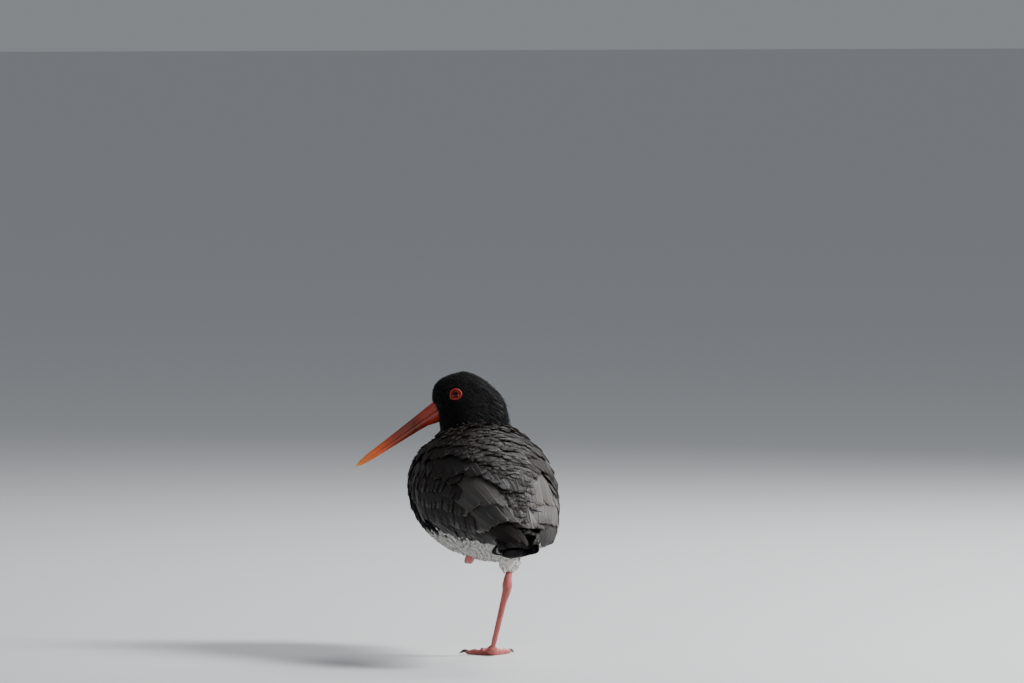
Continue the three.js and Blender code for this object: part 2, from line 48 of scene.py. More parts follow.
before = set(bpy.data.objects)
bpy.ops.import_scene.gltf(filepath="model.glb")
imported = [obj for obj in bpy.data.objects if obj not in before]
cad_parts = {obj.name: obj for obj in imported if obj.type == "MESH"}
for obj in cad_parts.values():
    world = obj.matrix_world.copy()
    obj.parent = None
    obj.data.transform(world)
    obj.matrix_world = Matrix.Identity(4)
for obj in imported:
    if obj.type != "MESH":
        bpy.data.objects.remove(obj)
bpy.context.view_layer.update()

# Lengths are in millimetres and directions run as in the part's source: x to the bird's left, y to its
# tail and z up from the floor. to_row moves a point from there to the frame, which is in metres.
MM = 0.001
BREAST_Y = -113.0
TORSO_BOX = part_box("torso")
SHIFT = np.array([(TORSO_BOX[0].x + TORSO_BOX[1].x) / 2 / MM, TORSO_BOX[0].y / MM - BREAST_Y, 0.0])

# Body with its wings folded: y, half width, lowest, widest and highest level
BODY = np.array([
    [-113, 52, 86, 134, 178],
    [-80, 54, 80, 131, 179],
    [-50, 55, 76, 128, 179],
    [-20, 54, 74, 125, 173],
    [10, 48.5, 75, 121, 163],
    [40, 42.5, 78, 117, 151.5],
    [70, 36, 83, 112, 139.5],
    [95, 30, 87, 106, 127.5],
    [120, 23, 89, 100, 115],
    [140, 15, 88, 95, 104],
    [156, 9, 85, 91, 95],
], float)
BREAST_ROUND = 50.0
TIPS_Y = 160.0
WING_BED = 3.1
TURN_STEP = 0.01
RUN_STEP = 0.5

# The line between black and white plumage: y and level
BORDER = ([-113, -60, 25, 95, 160], [101, 100.5, 96.5, 95, 92])

HEAD_TURN = math.radians(78)
NECK_Y = -63.3
NECK_SLOPE = 0.467
HEAD_FROM = 168
HEAD_TILT = 0.3
HEAD_TILT_Y = -60
HEAD_ALONG = np.array([math.sin(HEAD_TURN), -math.cos(HEAD_TURN), 0.0])
HEAD_LEFT = np.array([math.cos(HEAD_TURN), math.sin(HEAD_TURN), 0.0])
UP = np.array([0.0, 0.0, 1.0])

BILL_DROP = math.radians(35.2)
BILL_ALONG = HEAD_ALONG * math.cos(BILL_DROP) - UP * math.sin(BILL_DROP)
BILL_UP = HEAD_ALONG * math.sin(BILL_DROP) + UP * math.cos(BILL_DROP)
BILL_ROOT_ALONG = 35.6
BILL_ROOT_Z = 185.8

KNEE = np.array([-12.0, 4.0, 84.0])
BARE_TOP = np.array([-9.6, 12.0, 66.0])
ANKLE = np.array([-7.4, 15.0, 56.0])
FOOT = np.array([0.8, -2.5, 4.6])


def in_head(along, out, z):
    """A point given along the bill's bearing, out of the head's left side and up."""
    return np.array([0.0, NECK_Y, z]) + HEAD_ALONG * along + HEAD_LEFT * out


def on_bill(s, out, up):
    """A point given along the bill's axis from the feather line, to its left and above it."""
    root = in_head(BILL_ROOT_ALONG, 0, BILL_ROOT_Z)
    return root + BILL_ALONG * s + HEAD_LEFT * out + BILL_UP * up


def unit(v):
    """Vectors scaled to a length of one."""
    return v / np.maximum(np.linalg.norm(v, axis=-1, keepdims=True), 1e-9)


def ease(value, low, high):
    """Zero below low, one above high and smooth between."""
    t = np.clip((np.asarray(value, float) - low) / (high - low), 0, 1)
    return t * t * (3 - 2 * t)


def read(column, y):
    """One column of the body's stations at y, as a smooth curve."""
    ats, values = BODY[:, 0], BODY[:, column]
    slope = np.gradient(values, ats)
    i = np.clip(np.searchsorted(ats, y) - 1, 0, len(ats) - 2)
    span = ats[i + 1] - ats[i]
    t = np.clip((y - ats[i]) / span, 0, 1)
    rise = (2 * t**3 - 3 * t**2 + 1) * values[i] + (3 * t**2 - 2 * t**3) * values[i + 1]
    return rise + span * ((t**3 - 2 * t**2 + t) * slope[i] + (t**3 - t**2) * slope[i + 1])


def body_raw(y, angle):
    """The body's surface at y and an angle round it, 0 at the left side and a quarter turn at the back."""
    full = np.sqrt(np.clip(1 - (1 - np.clip((y - BREAST_Y) / BREAST_ROUND, 0, 1)) ** 2, 0, 1))
    level = read(3, y)
    reach = np.where(np.sin(angle) > 0, read(4, y) - level, level - read(2, y))
    x = read(1, y) * full * np.cos(angle)
    return np.stack([x, y + 0 * angle, level + reach * full * np.sin(angle)], -1)


def body_point(y, angle, off=0.0):
    """A point of the body's surface moved out along its normal, and that normal."""
    y, angle, off = np.broadcast_arrays(np.clip(y, BREAST_Y + 1, TIPS_Y), angle, off)
    around = body_raw(y, angle + TURN_STEP) - body_raw(y, angle - TURN_STEP)
    along = body_raw(y + RUN_STEP, angle) - body_raw(y - RUN_STEP, angle)
    normal = unit(np.cross(around, along))
    outward = normal[..., 0] * np.cos(angle) + normal[..., 2] * np.sin(angle)
    normal = normal * np.where(outward < 0, -1.0, 1.0)[..., None]
    return body_raw(y, angle) + normal * off[..., None], normal


def body_angle(points):
    """The angle round the body of points near its surface."""
    level = read(3, points[:, 1])
    above = points[:, 2] - level
    reach = np.where(above > 0, read(4, points[:, 1]) - level, level - read(2, points[:, 1]))
    return np.arctan2(above / reach, points[:, 0] / read(1, points[:, 1]))


def to_row(points):
    """Millimetres of the source to metres of the frame."""
    return (np.asarray(points, float) + SHIFT) * MM


def in_mm(metres):
    """A length of the sidebar in millimetres, without the stray digits that its storage adds."""
    return round(metres / MM, 4)


def border_height(points):
    """How far points lie above the ragged line between black and white plumage."""
    y = points[:, 1]
    ragged = 1.3 * np.sin(y * 0.41 + points[:, 0] * 0.3) + 0.9 * np.sin(y * 0.93 + 1.7)
    return points[:, 2] - np.interp(y, *BORDER) - ragged


def neck_level(points):
    """How high points lie, counted from the slope on which the neck meets the back."""
    return points[:, 2] - NECK_SLOPE * (points[:, 1] - NECK_Y)


def is_head(points):
    """True on the head and the neck."""
    return neck_level(points) > HEAD_FROM


def head_share(points, full):
    """Zero on the body, and one where a point is higher than the level full."""
    return ease(points[:, 2] - HEAD_TILT * (points[:, 1] - HEAD_TILT_Y), HEAD_FROM, full)


def eye_centre(side):
    """The middle of an eye."""
    low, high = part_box(f"eye_{side}")
    return np.array((low + high) / 2) / MM - SHIFT


def eye_distance(points):
    """Distance to the nearer eye or to the bill's root."""
    far = np.linalg.norm(points - on_bill(-2, 0, 0), axis=1)
    for side in ("left", "right"):
        far = np.minimum(far, np.linalg.norm(points - eye_centre(side), axis=1))
    return far


def link(name, mesh):
    """A new object for a mesh, in the scene."""
    piece = bpy.data.objects.new(name, mesh)
    bpy.context.scene.collection.objects.link(piece)
    return piece


def settle(piece, slot, *nodes):
    """Rides a finished piece on the body and hides the solids of the given nodes."""
    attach(piece, "root")
    if nodes:
        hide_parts(*nodes)


def finished(bm, name):
    """The mesh of a bmesh, which is freed, with smooth faces."""
    for face in bm.faces:
        face.smooth = True
    mesh = bpy.data.meshes.new(name)
    bm.to_mesh(mesh)
    bm.free()
    return mesh


def mesh_from(name, vertices, faces, maps, values):
    """A mesh from arrays: quads or triangles, UV maps given per vertex and values per vertex."""
    mesh = bpy.data.meshes.new(name)
    corners = np.concatenate([f.reshape(-1) for f in faces]).astype(np.int32)
    sizes = np.concatenate([np.full(len(f), f.shape[1], np.int32) for f in faces])
    starts = np.concatenate([[0], np.cumsum(sizes)[:-1]]).astype(np.int32)
    mesh.vertices.add(len(vertices))
    mesh.vertices.foreach_set("co", to_row(vertices).astype(np.float32).ravel())
    mesh.loops.add(len(corners))
    mesh.loops.foreach_set("vertex_index", corners)
    mesh.polygons.add(len(sizes))
    mesh.polygons.foreach_set("loop_start", starts)
    mesh.polygons.foreach_set("use_smooth", np.ones(len(sizes), bool))
    for map_name, places in maps.items():
        layer = mesh.uv_layers.new(name=map_name, do_init=False)
        layer.uv.foreach_set("vector", places[corners].astype(np.float32).ravel())
    for value_name, numbers in values.items():
        attribute = mesh.attributes.new(value_name, "FLOAT", "POINT")
        attribute.data.foreach_set("value", numbers.astype(np.float32).ravel())
    mesh.update(calc_edges=True)
    mesh.validate()
    return mesh


# The skin's unwrap has the body in its lower part and the head above it: start and height of each part
UNWRAP_BODY = (0.02, 0.58)
UNWRAP_HEAD = (0.63, 0.35)
UNWRAP_EDGE = 0.003
UNWRAP_HEAD_FROM = 172


def skin_place(points):
    """Where points of the skin lie on its unwrap: the body turned flat below, the head above it."""
    head = neck_level(points) > UNWRAP_HEAD_FROM
    body_u = body_angle(points) / (2 * math.pi) + 0.5
    body_v = UNWRAP_BODY[0] + UNWRAP_BODY[1] * np.clip((points[:, 1] + 115) / 280, 0, 1)
    away = points - in_head(8, 0, 0)
    head_u = np.arctan2(away @ HEAD_LEFT, away @ HEAD_ALONG) / (2 * math.pi) + 0.5
    head_v = UNWRAP_HEAD[0] + UNWRAP_HEAD[1] * np.clip((points[:, 2] - 145) / 78, 0, 1)
    place = np.stack([np.where(head, head_u, body_u), np.where(head, head_v, body_v)], -1)
    return np.clip(place, UNWRAP_EDGE, 1 - UNWRAP_EDGE)


def skin_tree():
    """The skin as a tree of triangles, in millimetres of the source, with its points and polygons."""
    mesh = bpy.data.objects["skin"].data
    points = np.empty(len(mesh.vertices) * 3, np.float32)
    mesh.vertices.foreach_get("co", points)
    points = points.reshape(-1, 3) / MM - SHIFT
    polygons = [tuple(p.vertices) for p in mesh.polygons]
    return BVHTree.FromPolygons([tuple(p) for p in points], polygons), points, polygons


def lie_of_coat(points, normals):
    """The way the plumage lies: back from the bill, down the breast and along the body to the tail."""
    head = head_share(points, 184)[:, None]
    over_head = unit(points - on_bill(-4, 0, 0)) + np.array([0, 0, -0.5])
    front = ease(-points[:, 1], 40, 108)[:, None]
    over_body = np.array([0, 1.0, -0.25]) + front * np.array([0, -0.45, -1.3])
    lie = over_head * head + over_body * (1 - head)
    thigh = ease(80 - points[:, 2], 0, 6)[:, None]
    lie = lie * (1 - thigh) + unit(BARE_TOP - KNEE) * thigh
    lie = lie - normals * (lie * normals).sum(1, keepdims=True)
    return unit(lie)


ROOT_CELL = 4.0
ROOT_GAP = 0.72


def scatter(points, polygons, spacing, rng, tries):
    """Seeded roots on the skin, kept apart by a spacing that a function of the place gives."""
    corners = np.array([p[:3] for p in polygons] + [(p[0], p[2], p[3]) for p in polygons if len(p) == 4])
    a, b, c = (points[corners[:, k]] for k in range(3))
    cross = np.cross(b - a, c - a)
    area = np.linalg.norm(cross, axis=1) / 2
    gap = spacing((a + b + c) / 3)
    weight = np.where(gap > 0, area / np.maximum(gap, 0.5) ** 2, 0)
    count = int(weight.sum() * tries)
    pick = rng.choice(len(area), count, p=weight / weight.sum())
    r1, r2 = np.sqrt(rng.random(count)), rng.random(count)
    roots = a[pick] * (1 - r1)[:, None] + b[pick] * (r1 * (1 - r2))[:, None] + c[pick] * (r1 * r2)[:, None]
    gaps = spacing(roots) * ROOT_GAP
    kept, cells = [], {}
    for i, (root, gap) in enumerate(zip(roots, gaps)):
        if gap <= 0:
            continue
        x, y, z = (root // ROOT_CELL).astype(int)
        near = [j for dx in (-1, 0, 1) for dy in (-1, 0, 1) for dz in (-1, 0, 1)
                for j in cells.get((x + dx, y + dy, z + dz), ())]
        if near and (((roots[near] - root) ** 2).sum(1) < gap * gap).any():
            continue
        cells.setdefault((x, y, z), []).append(i)
        kept.append(i)
    return roots[kept], unit(cross[pick][kept])


def walk(tree, roots, normals, ways, lengths, rows):
    """Paths over the skin from each root: the points and normals at each row."""
    path = np.empty((len(roots), rows, 3))
    faces = np.empty((len(roots), rows, 3))
    for i in range(len(roots)):
        at, way, normal = Vector(roots[i]), Vector(ways[i]), Vector(normals[i])
        step = lengths[i] / (rows - 1)
        path[i, 0], faces[i, 0] = at, normal
        for k in range(1, rows):
            near, face, _, _ = tree.find_nearest(at + way * step)
            normal = (normal + face).normalized()
            turned = near - at
            turned = turned - normal * turned.dot(normal)
            way = turned.normalized() if turned.length > 1e-6 else way
            path[i, k], faces[i, k] = near, normal
            at = near
    return path, faces


# A tuft: its rows from root to tip and how wide it is at each
TUFT_ROWS = np.array([0.0, 0.3, 0.62, 0.86, 1.0])
TUFT_WIDTH = np.array([0.55, 1.0, 0.95, 0.62, 0.0])
TUFT_SINK = 0.4
TUFT_RIDGE = (0.32, 0.06)
TUFT_PATCH = 0.003


def tuft_mesh(name, tree, roots, normals, lengths, halves, depth, rng, spread=0.12, curl=0.0):
    """Small feathers as closed slivers with a ridge, rooted in the skin and rising to the coat's depth."""
    ways = lie_of_coat(roots, normals)
    sides = np.cross(normals, ways)
    ways = unit(ways + sides * rng.normal(0, spread, len(roots))[:, None])
    path, faces = walk(tree, roots, normals, ways, lengths, len(TUFT_ROWS))
    forward = unit(np.gradient(path, axis=1))
    side = unit(np.cross(faces, forward))
    rows = len(TUFT_ROWS)
    rise = -TUFT_SINK + (depth[:, None] + TUFT_SINK) * TUFT_ROWS[None] ** 0.8
    rise = rise * (1 + rng.normal(0, 0.1, len(roots)))[:, None] + curl * TUFT_ROWS[None] ** 2
    width = halves[:, None] * TUFT_WIDTH[None]
    middle = path + faces * rise[..., None]
    left = middle - side * width[..., None]
    right = middle + side * width[..., None]
    ridge = middle + faces * (TUFT_RIDGE[0] * width + TUFT_RIDGE[1])[..., None]
    body = np.stack([left, ridge, right], 2)[:, : rows - 1].reshape(len(roots), -1, 3)
    vertices = np.concatenate([body, middle[:, -1:]], 1)
    each = vertices.shape[1]
    quads = []
    for k in range(rows - 2):
        for m in range(3):
            a, b = k * 3 + m, k * 3 + (m + 1) % 3
            quads.append((a, b, b + 3, a + 3))
    last, tip = (rows - 2) * 3, each - 1
    triangles = [(last, last + 1, tip), (last + 1, last + 2, tip), (last + 2, last, tip), (0, 2, 1)]
    start = (np.arange(len(roots)) * each)[:, None, None]
    quads = (np.array(quads)[None] + start).reshape(-1, 4)
    triangles = (np.array(triangles)[None] + start).reshape(-1, 3)
    across = np.concatenate([np.tile([0.0, 0.5, 1.0], rows - 1), [0.5]])
    along = np.concatenate([np.repeat(TUFT_ROWS[:-1], 3), [1.0]])
    shape = np.stack([across, along], -1)
    patch = skin_place(roots)[:, None] + (shape - 0.5)[None] * TUFT_PATCH
    shade = np.repeat(rng.random(len(roots)), each)
    return mesh_from(
        name, vertices.reshape(-1, 3), [quads[:, ::-1], triangles[:, ::-1]],
        {"Vane": np.tile(shape, (len(roots), 1)), "OFBake": patch.reshape(-1, 2)}, {"shade": shade},
    )


def vane_outline(t, point):
    """Half width of a vane from its root at 0 to its tip at 1, rounder where point is small."""
    body = 0.62 + 0.38 * ease(t, 0, 0.45)
    start = 0.86 - 0.4 * point
    cap = np.sqrt(np.clip(1 - (np.clip(t - start, 0, 1) / (1 - start)) ** 2, 0, 1))
    return body * np.maximum(cap, 0.02)


# Splits in a vane's edge: the part of its length where they lie, how deep, how often and how long
SPLIT_PLACE = (0.45, 0.93)
SPLIT_DEPTH = 0.3
SPLIT_SHARE = 0.7
SPLIT_LENGTH = 0.035
SHAFT_HEIGHT = 0.25
SHAFT_WIDTH = 0.12
VANE_WAVE = 0.05


def vane_patches(count, across, along):
    """OFBake places of vanes: a cell of the map for each, with its top and underside beside each other."""
    in_row = int(math.ceil(math.sqrt(count)))
    cell = np.arange(count)
    corner = np.stack([cell % in_row, cell // in_row], -1) / in_row
    inner = np.stack([across * 0.42, along * 0.9], -1)
    both = np.concatenate([inner + [0.04, 0.05], inner + [0.54, 0.05]])
    return (corner[:, None] + both[None] / in_row).reshape(-1, 2)


def vane_mesh(name, place, count, half, point, rng, rows=22, columns=9, thick=0.3, camber=0.45, splits=2):
    """Large feathers as closed curved vanes. place takes arrays with one row per feather, of the way along,
    the distance across and the height, and gives the points."""
    t = np.linspace(0, 1, rows) ** 0.9
    u = np.linspace(-1, 1, columns)
    outline = vane_outline(t[None], np.asarray(point)[:, None])
    left, right = outline.copy(), outline.copy()
    for _ in range(splits):
        for edge in (left, right):
            at = rng.uniform(*SPLIT_PLACE, count)[:, None]
            deep = rng.uniform(0, SPLIT_DEPTH, count)[:, None] * (rng.random(count) < SPLIT_SHARE)[:, None]
            edge *= 1 - deep * np.clip(1 - np.abs(t[None] - at) / SPLIT_LENGTH, 0, 1)
    side = (np.abs(u) ** 0.9 * np.sign(u))[None, None]
    across = np.where(u[None, None] < 0, left[..., None], right[..., None]) * side * half[:, None, None]
    wave = rng.normal(0, VANE_WAVE, (count, rows, columns)) * t[None, :, None]
    shaft = SHAFT_HEIGHT * np.exp(-((u / SHAFT_WIDTH) ** 2))[None, None]
    arch = camber * (1 - u[None, None] ** 2) + shaft
    along = t[None, :, None] - 0.05 * np.abs(u)[None, None] * (1 - t[None, :, None])
    along = np.clip(along + 0.02, 0, 1) * np.ones((count, 1, 1))
    top = place(along, across, arch + wave)
    depth = thick * (0.35 + 0.65 * (1 - np.abs(u)))[None, None] * (1 - 0.5 * t[None, :, None])
    bottom = place(along, across, arch + wave - depth)
    grid = np.arange(rows * columns).reshape(rows, columns)
    faces = np.stack([grid[:-1, :-1], grid[:-1, 1:], grid[1:, 1:], grid[1:, :-1]], -1).reshape(-1, 4)
    under = faces[:, ::-1] + rows * columns
    ring = np.concatenate([grid[0, :], grid[1:, -1], grid[-1, -2::-1], grid[-2:0:-1, 0]])
    following = np.roll(ring, -1)
    rim = np.stack([ring, ring + rows * columns, following + rows * columns, following], -1)
    each = 2 * rows * columns
    start = (np.arange(count) * each)[:, None, None]
    quads = (np.concatenate([faces, under, rim])[None] + start).reshape(-1, 4)
    vertices = np.stack([top, bottom], 1).reshape(count, each, 3)
    normal = np.cross(top[:, 1, 1] - top[:, 0, 0], top[:, 0, 1] - top[:, 0, 0])
    upward = top[:, 0, 0] - bottom[:, 0, 0]
    turned = (normal * upward).sum(1).mean() < 0
    across_map = np.tile(((u + 1) / 2)[None], (rows, 1)).ravel()
    along_map = np.repeat(t, columns)
    vane = np.tile(np.stack([across_map, along_map], -1), (2 * count, 1))
    bake = vane_patches(count, across_map, along_map)
    shade = np.repeat(rng.random(count), each)
    return mesh_from(
        name, vertices.reshape(-1, 3), [quads if turned else quads[:, ::-1]],
        {"Vane": vane, "OFBake": bake}, {"shade": shade},
    )


VANE_SINK = 2.6
TILT_WIDTH = 8


def laid_place(root, tip, lift, tilt, side):
    """Places feathers on the folded body between stations and angles at their roots and tips. They start
    below its surface, end at their lift, and tilt is how much lower their outer edge lies."""
    root_y, root_a = root[:, 0, None, None], np.radians(root[:, 1, None, None])
    run_y = tip[:, 0, None, None] - root_y
    run_a = np.radians(tip[:, 1, None, None]) - root_a

    def place(t, across, height):
        y, angle = root_y + run_y * t, root_a + run_a * t
        inside = np.clip(y, BREAST_Y + 2, TIPS_Y - 1)
        here = body_raw(inside, angle)
        turn = np.linalg.norm(body_raw(inside, angle + TURN_STEP) - here, axis=-1) / TURN_STEP
        turn = np.maximum(turn, 2)
        rise = run_a * turn
        length = np.sqrt(run_y**2 + rise**2)
        y2 = y - rise / length * across
        a2 = angle + run_y / length * across / turn
        bed = -VANE_SINK + (VANE_SINK + lift[:, None, None]) * np.clip(t, 0, 1) ** 0.7
        slope = tilt * across / TILT_WIDTH
        points, _ = body_point(y2, a2, bed + height - slope)
        return points * np.array([side, 1, 1])

    return place


def new_material(name, **values):
    """A material and its Principled shader, with plain values on the shader's own sockets."""
    material = bpy.data.materials.new(name)
    material.use_nodes = True
    shader = material.node_tree.nodes["Principled BSDF"]
    for key, value in values.items():
        shader.inputs[key.replace("_", " ")].default_value = value
    return material, material.node_tree, shader


def node(tree, kind, **settings):
    """A shader node with its settings."""
    made = tree.nodes.new("ShaderNode" + kind)
    for key, value in settings.items():
        setattr(made, key, value)
    return made


def feed(tree, socket, value):
    """Links another socket to this one, or gives it a number or a colour."""
    if hasattr(value, "links"):
        tree.links.new(value, socket)
    elif isinstance(value, (int, float)):
        socket.default_value = value
    else:
        socket.default_value = tuple(value)[:3] + (1,)


def maths(tree, operation, a, b=None):
    """A Math node on sockets or numbers, and its result."""
    made = node(tree, "Math", operation=operation)
    feed(tree, made.inputs[0], a)
    if b is not None:
        feed(tree, made.inputs[1], b)
    return made.outputs[0]


def mix(tree, factor, a, b):
    """A colour between two others."""
    made = node(tree, "Mix", data_type="RGBA")
    feed(tree, made.inputs[0], factor)
    feed(tree, made.inputs[6], a)
    feed(tree, made.inputs[7], b)
    return made.outputs[2]


def between(tree, value, low, high, start=0, end=1, kind="LINEAR"):
    """A number that goes from start to end while a socket goes from low to high."""
    made = node(tree, "MapRange", interpolation_type=kind)
    for i, number in enumerate((value, low, high, start, end)):
        feed(tree, made.inputs[i], number)
    return made.outputs[0]


def noise_value(tree, scale, on_object=True):
    """Noise on Object coordinates, or else on the generated ones that an unlinked node takes."""
    made = node(tree, "TexNoise")
    made.inputs["Scale"].default_value = scale
    if on_object:
        coordinates = node(tree, "TexCoord")
        tree.links.new(coordinates.outputs["Object"], made.inputs["Vector"])
    return made.outputs[0]


def map_parts(tree, name):
    """The two numbers of a UV map."""
    place = node(tree, "UVMap", uv_map=name)
    parts = node(tree, "SeparateXYZ")
    tree.links.new(place.outputs[0], parts.inputs[0])
    return parts.outputs[0], parts.outputs[1]


def add_relief(tree, shader, height, strength, distance):
    """A bump from a height, on a material's shader."""
    relief = node(tree, "Bump")
    relief.inputs["Strength"].default_value = strength
    relief.inputs["Distance"].default_value = distance
    tree.links.new(height, relief.inputs["Height"])
    tree.links.new(relief.outputs[0], shader.inputs["Normal"])


def grained_material(name, scale, dark, light, relief=0.0, on_object=True, **values):
    """A material whose colour wanders between two, with a bump from the same grain where one is given."""
    material, tree, shader = new_material(name, **values)
    grain = noise_value(tree, scale, on_object)
    feed(tree, shader.inputs["Base Color"], mix(tree, grain, dark, light))
    if relief:
        add_relief(tree, shader, grain, 1.0, relief)
    return material


def scaled(colour, share):
    """A colour made darker or lighter."""
    return tuple(c * share for c in colour)


def looks():
    """The sizes and colours set in the sidebar."""
    return bpy.context.scene.oystercatcher


def vane_group():
    """Marks on a feather: fine barbs, its pale fringe, its shaft and a value that differs by feather."""
    if "Vane Marks" in bpy.data.node_groups:
        return bpy.data.node_groups["Vane Marks"]
    group = bpy.data.node_groups.new("Vane Marks", "ShaderNodeTree")
    for name, value in (("Barb Count", 60), ("Fringe Width", 0.06)):
        socket = group.interface.new_socket(name, in_out="INPUT", socket_type="NodeSocketFloat")
        socket.default_value = value
    for name in ("Barbs", "Fringe", "Shaft", "Variation"):
        group.interface.new_socket(name, in_out="OUTPUT", socket_type="NodeSocketFloat")
    inside, outside = group.nodes.new("NodeGroupInput"), group.nodes.new("NodeGroupOutput")
    across, along = map_parts(group, "Vane")
    off = maths(group, "ABSOLUTE", maths(group, "SUBTRACT", across, 0.5))
    slant = maths(group, "SUBTRACT", along, maths(group, "MULTIPLY", off, 0.55))
    noise = noise_value(group, 900)
    turns = maths(group, "MULTIPLY", slant, inside.outputs["Barb Count"])
    turns = maths(group, "ADD", turns, maths(group, "MULTIPLY", noise, 0.8))
    barbs = maths(group, "ABSOLUTE", maths(group, "SINE", maths(group, "MULTIPLY", turns, math.pi)))
    group.links.new(barbs, outside.inputs["Barbs"])
    rim = maths(group, "SUBTRACT", 0.5, off)
    tip = maths(group, "SUBTRACT", 1.0, along)
    near = maths(group, "MINIMUM", rim, maths(group, "MULTIPLY", tip, 1.6))
    uneven = maths(group, "MULTIPLY", maths(group, "SUBTRACT", noise, 0.5), 0.08)
    near = maths(group, "ADD", near, uneven)
    fringe = between(group, near, 0, inside.outputs["Fringe Width"], 1, 0, "SMOOTHSTEP")
    group.links.new(fringe, outside.inputs["Fringe"])
    group.links.new(between(group, off, 0.012, 0.035, 1, 0, "SMOOTHSTEP"), outside.inputs["Shaft"])
    shade = node(group, "Attribute", attribute_name="shade")
    group.links.new(shade.outputs["Fac"], outside.inputs["Variation"])
    return group


def feather_material(name, dark, light, fringe, fringe_weight, barbs, roughness, shine, bump):
    """A feather's material: a colour that varies from one to the next, a paler fringe, fine barbs and painted
    shade in the grooves between them.
    """
    material, tree, shader = new_material(name, Roughness=roughness, Specular_IOR_Level=shine)
    marks = node(tree, "Group", node_tree=vane_group())
    marks.inputs["Barb Count"].default_value = barbs
    base = mix(tree, marks.outputs["Variation"], dark, light)
    edge = maths(tree, "MULTIPLY", marks.outputs["Fringe"], fringe_weight)
    colour = mix(tree, edge, base, fringe)
    # Painted shade: the colour darkens in the grooves between barbs, towards a share of the darkest colour.
    groove = maths(tree, "MULTIPLY", maths(tree, "SUBTRACT", 1.0, marks.outputs["Barbs"]), 0.3)
    groove_shade_share = 0.45 if dark[0] < 0.5 else 0.85
    feed(tree, shader.inputs["Base Color"], mix(tree, groove, colour, scaled(dark, groove_shade_share)))
    rough = maths(tree, "ADD", roughness, maths(tree, "MULTIPLY", marks.outputs["Variation"], 0.3))
    feed(tree, shader.inputs["Roughness"], rough)
    height = maths(tree, "ADD", marks.outputs["Barbs"], maths(tree, "MULTIPLY", marks.outputs["Shaft"], 3.0))
    add_relief(tree, shader, height, bump, 0.0002)
    return material


def feather_materials():
    """The plumage's materials by name, made once."""
    if "plumage black" not in bpy.data.materials:
        p = looks()
        black, brown, white = tuple(p.black_colour), tuple(p.back_colour), tuple(p.white_colour)
        pale, tertial_sheen = tuple(p.fringe_colour), tuple(p.tertial_sheen_colour)
        lighter, deep, dim = scaled(black, 2.2), scaled(brown, 0.2), scaled(brown, 0.5)
        # Name, darkest and lightest colour, fringe, its weight, barbs, roughness, shine and bump
        for row in (
            ("black", black, lighter, pale, 0.01, 22, 0.38, 0.22, 0.5),
            ("mantle", deep, dim, pale, 0.2, 40, 0.34, 0.22, 0.6),
            ("wing", deep, dim, pale, 0.16, 70, 0.36, 0.18, 0.6),
            # The tertials' lightest colour is a painted sheen: a pale colour that stands in for light
            # glancing off them.
            ("tertial", dim, scaled(tertial_sheen, 0.4), pale, 0.5, 80, 0.24, 0.4, 0.6),
            ("white", scaled(white, 0.96), white, white, 0.3, 20, 0.7, 0.2, 0.12),
            ("tail", black, lighter, pale, 0.12, 80, 0.3, 0.3, 0.6),
        ):
            feather_material(f"plumage {row[0]}", *row[1:])
    return {m.name: m for m in bpy.data.materials if m.name.startswith("plumage")}


# Depth of the coat on the body, and how much thinner it is on the face, less on the neck, and on the thigh
BODY_COAT = 3.4
FACE_THINNER = 2.7
NECK_THICKER = 0.9
THIGH_THINNER = 1.8

SKIN_SOLIDS = ("head", "neck", "torso", "thigh_right")
SKIN_NODES = ("head", "neck", "torso", "wing_left", "wing_right", "thigh_right")
# In metres: how far the solids are swollen, and the size of the skin's faces
SOLID_SWELL = 0.00035
SKIN_FACE = 0.0015


def coat_depth(points):
    """How deep the plumage lies over the skin at points near the solids' surface."""
    face = ease(eye_distance(points), 6, 24)
    depth = BODY_COAT - (FACE_THINNER - NECK_THICKER * face) * head_share(points, 180)
    return depth - ease(76 - points[:, 2], 0, 6) * THIGH_THINNER


def under_wings(points):
    """The torso's skin moved out to where the wings' feathers are rooted."""
    y, z = points[:, 1], points[:, 2]
    target, _ = body_point(y, body_angle(points), -WING_BED)
    share = ease(y, -108, -84) * (1 - ease(y, 92, 112)) * ease(z, 78, 88)
    share = share * (1 - ease(neck_level(points), 152, HEAD_FROM))
    return points + (target - points) * share[:, None]


def joined_solids():
    """The solids under the skin in one mesh, swollen so that the gaps between them close."""
    bm = bmesh.new()
    for name in SKIN_SOLIDS:
        part = bmesh.new()
        part.from_mesh(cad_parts[name].data)
        bmesh.ops.remove_doubles(part, verts=part.verts, dist=1e-6)
        bmesh.ops.recalc_face_normals(part, faces=part.faces)
        for vertex in part.verts:
            vertex.co += vertex.normal * SOLID_SWELL
        mesh = bpy.data.meshes.new("skin part")
        part.to_mesh(mesh)
        part.free()
        bm.from_mesh(mesh)
        bpy.data.meshes.remove(mesh)
    mesh = bpy.data.meshes.new("skin rough")
    bm.to_mesh(mesh)
    bm.free()
    return mesh


def one_surface(mesh, context):
    """A mesh's shape as one closed surface of even faces."""
    rough = link("skin rough", mesh)
    remesh = rough.modifiers.new("One surface", "REMESH")
    remesh.mode = "VOXEL"
    remesh.voxel_size = SKIN_FACE
    smooth = rough.modifiers.new("Smooth", "SMOOTH")
    smooth.factor = 0.5
    smooth.iterations = 6
    evaluated = rough.evaluated_get(context.evaluated_depsgraph_get())
    surface = bpy.data.meshes.new_from_object(evaluated)
    bpy.data.objects.remove(rough)
    surface.name = "skin"
    return surface


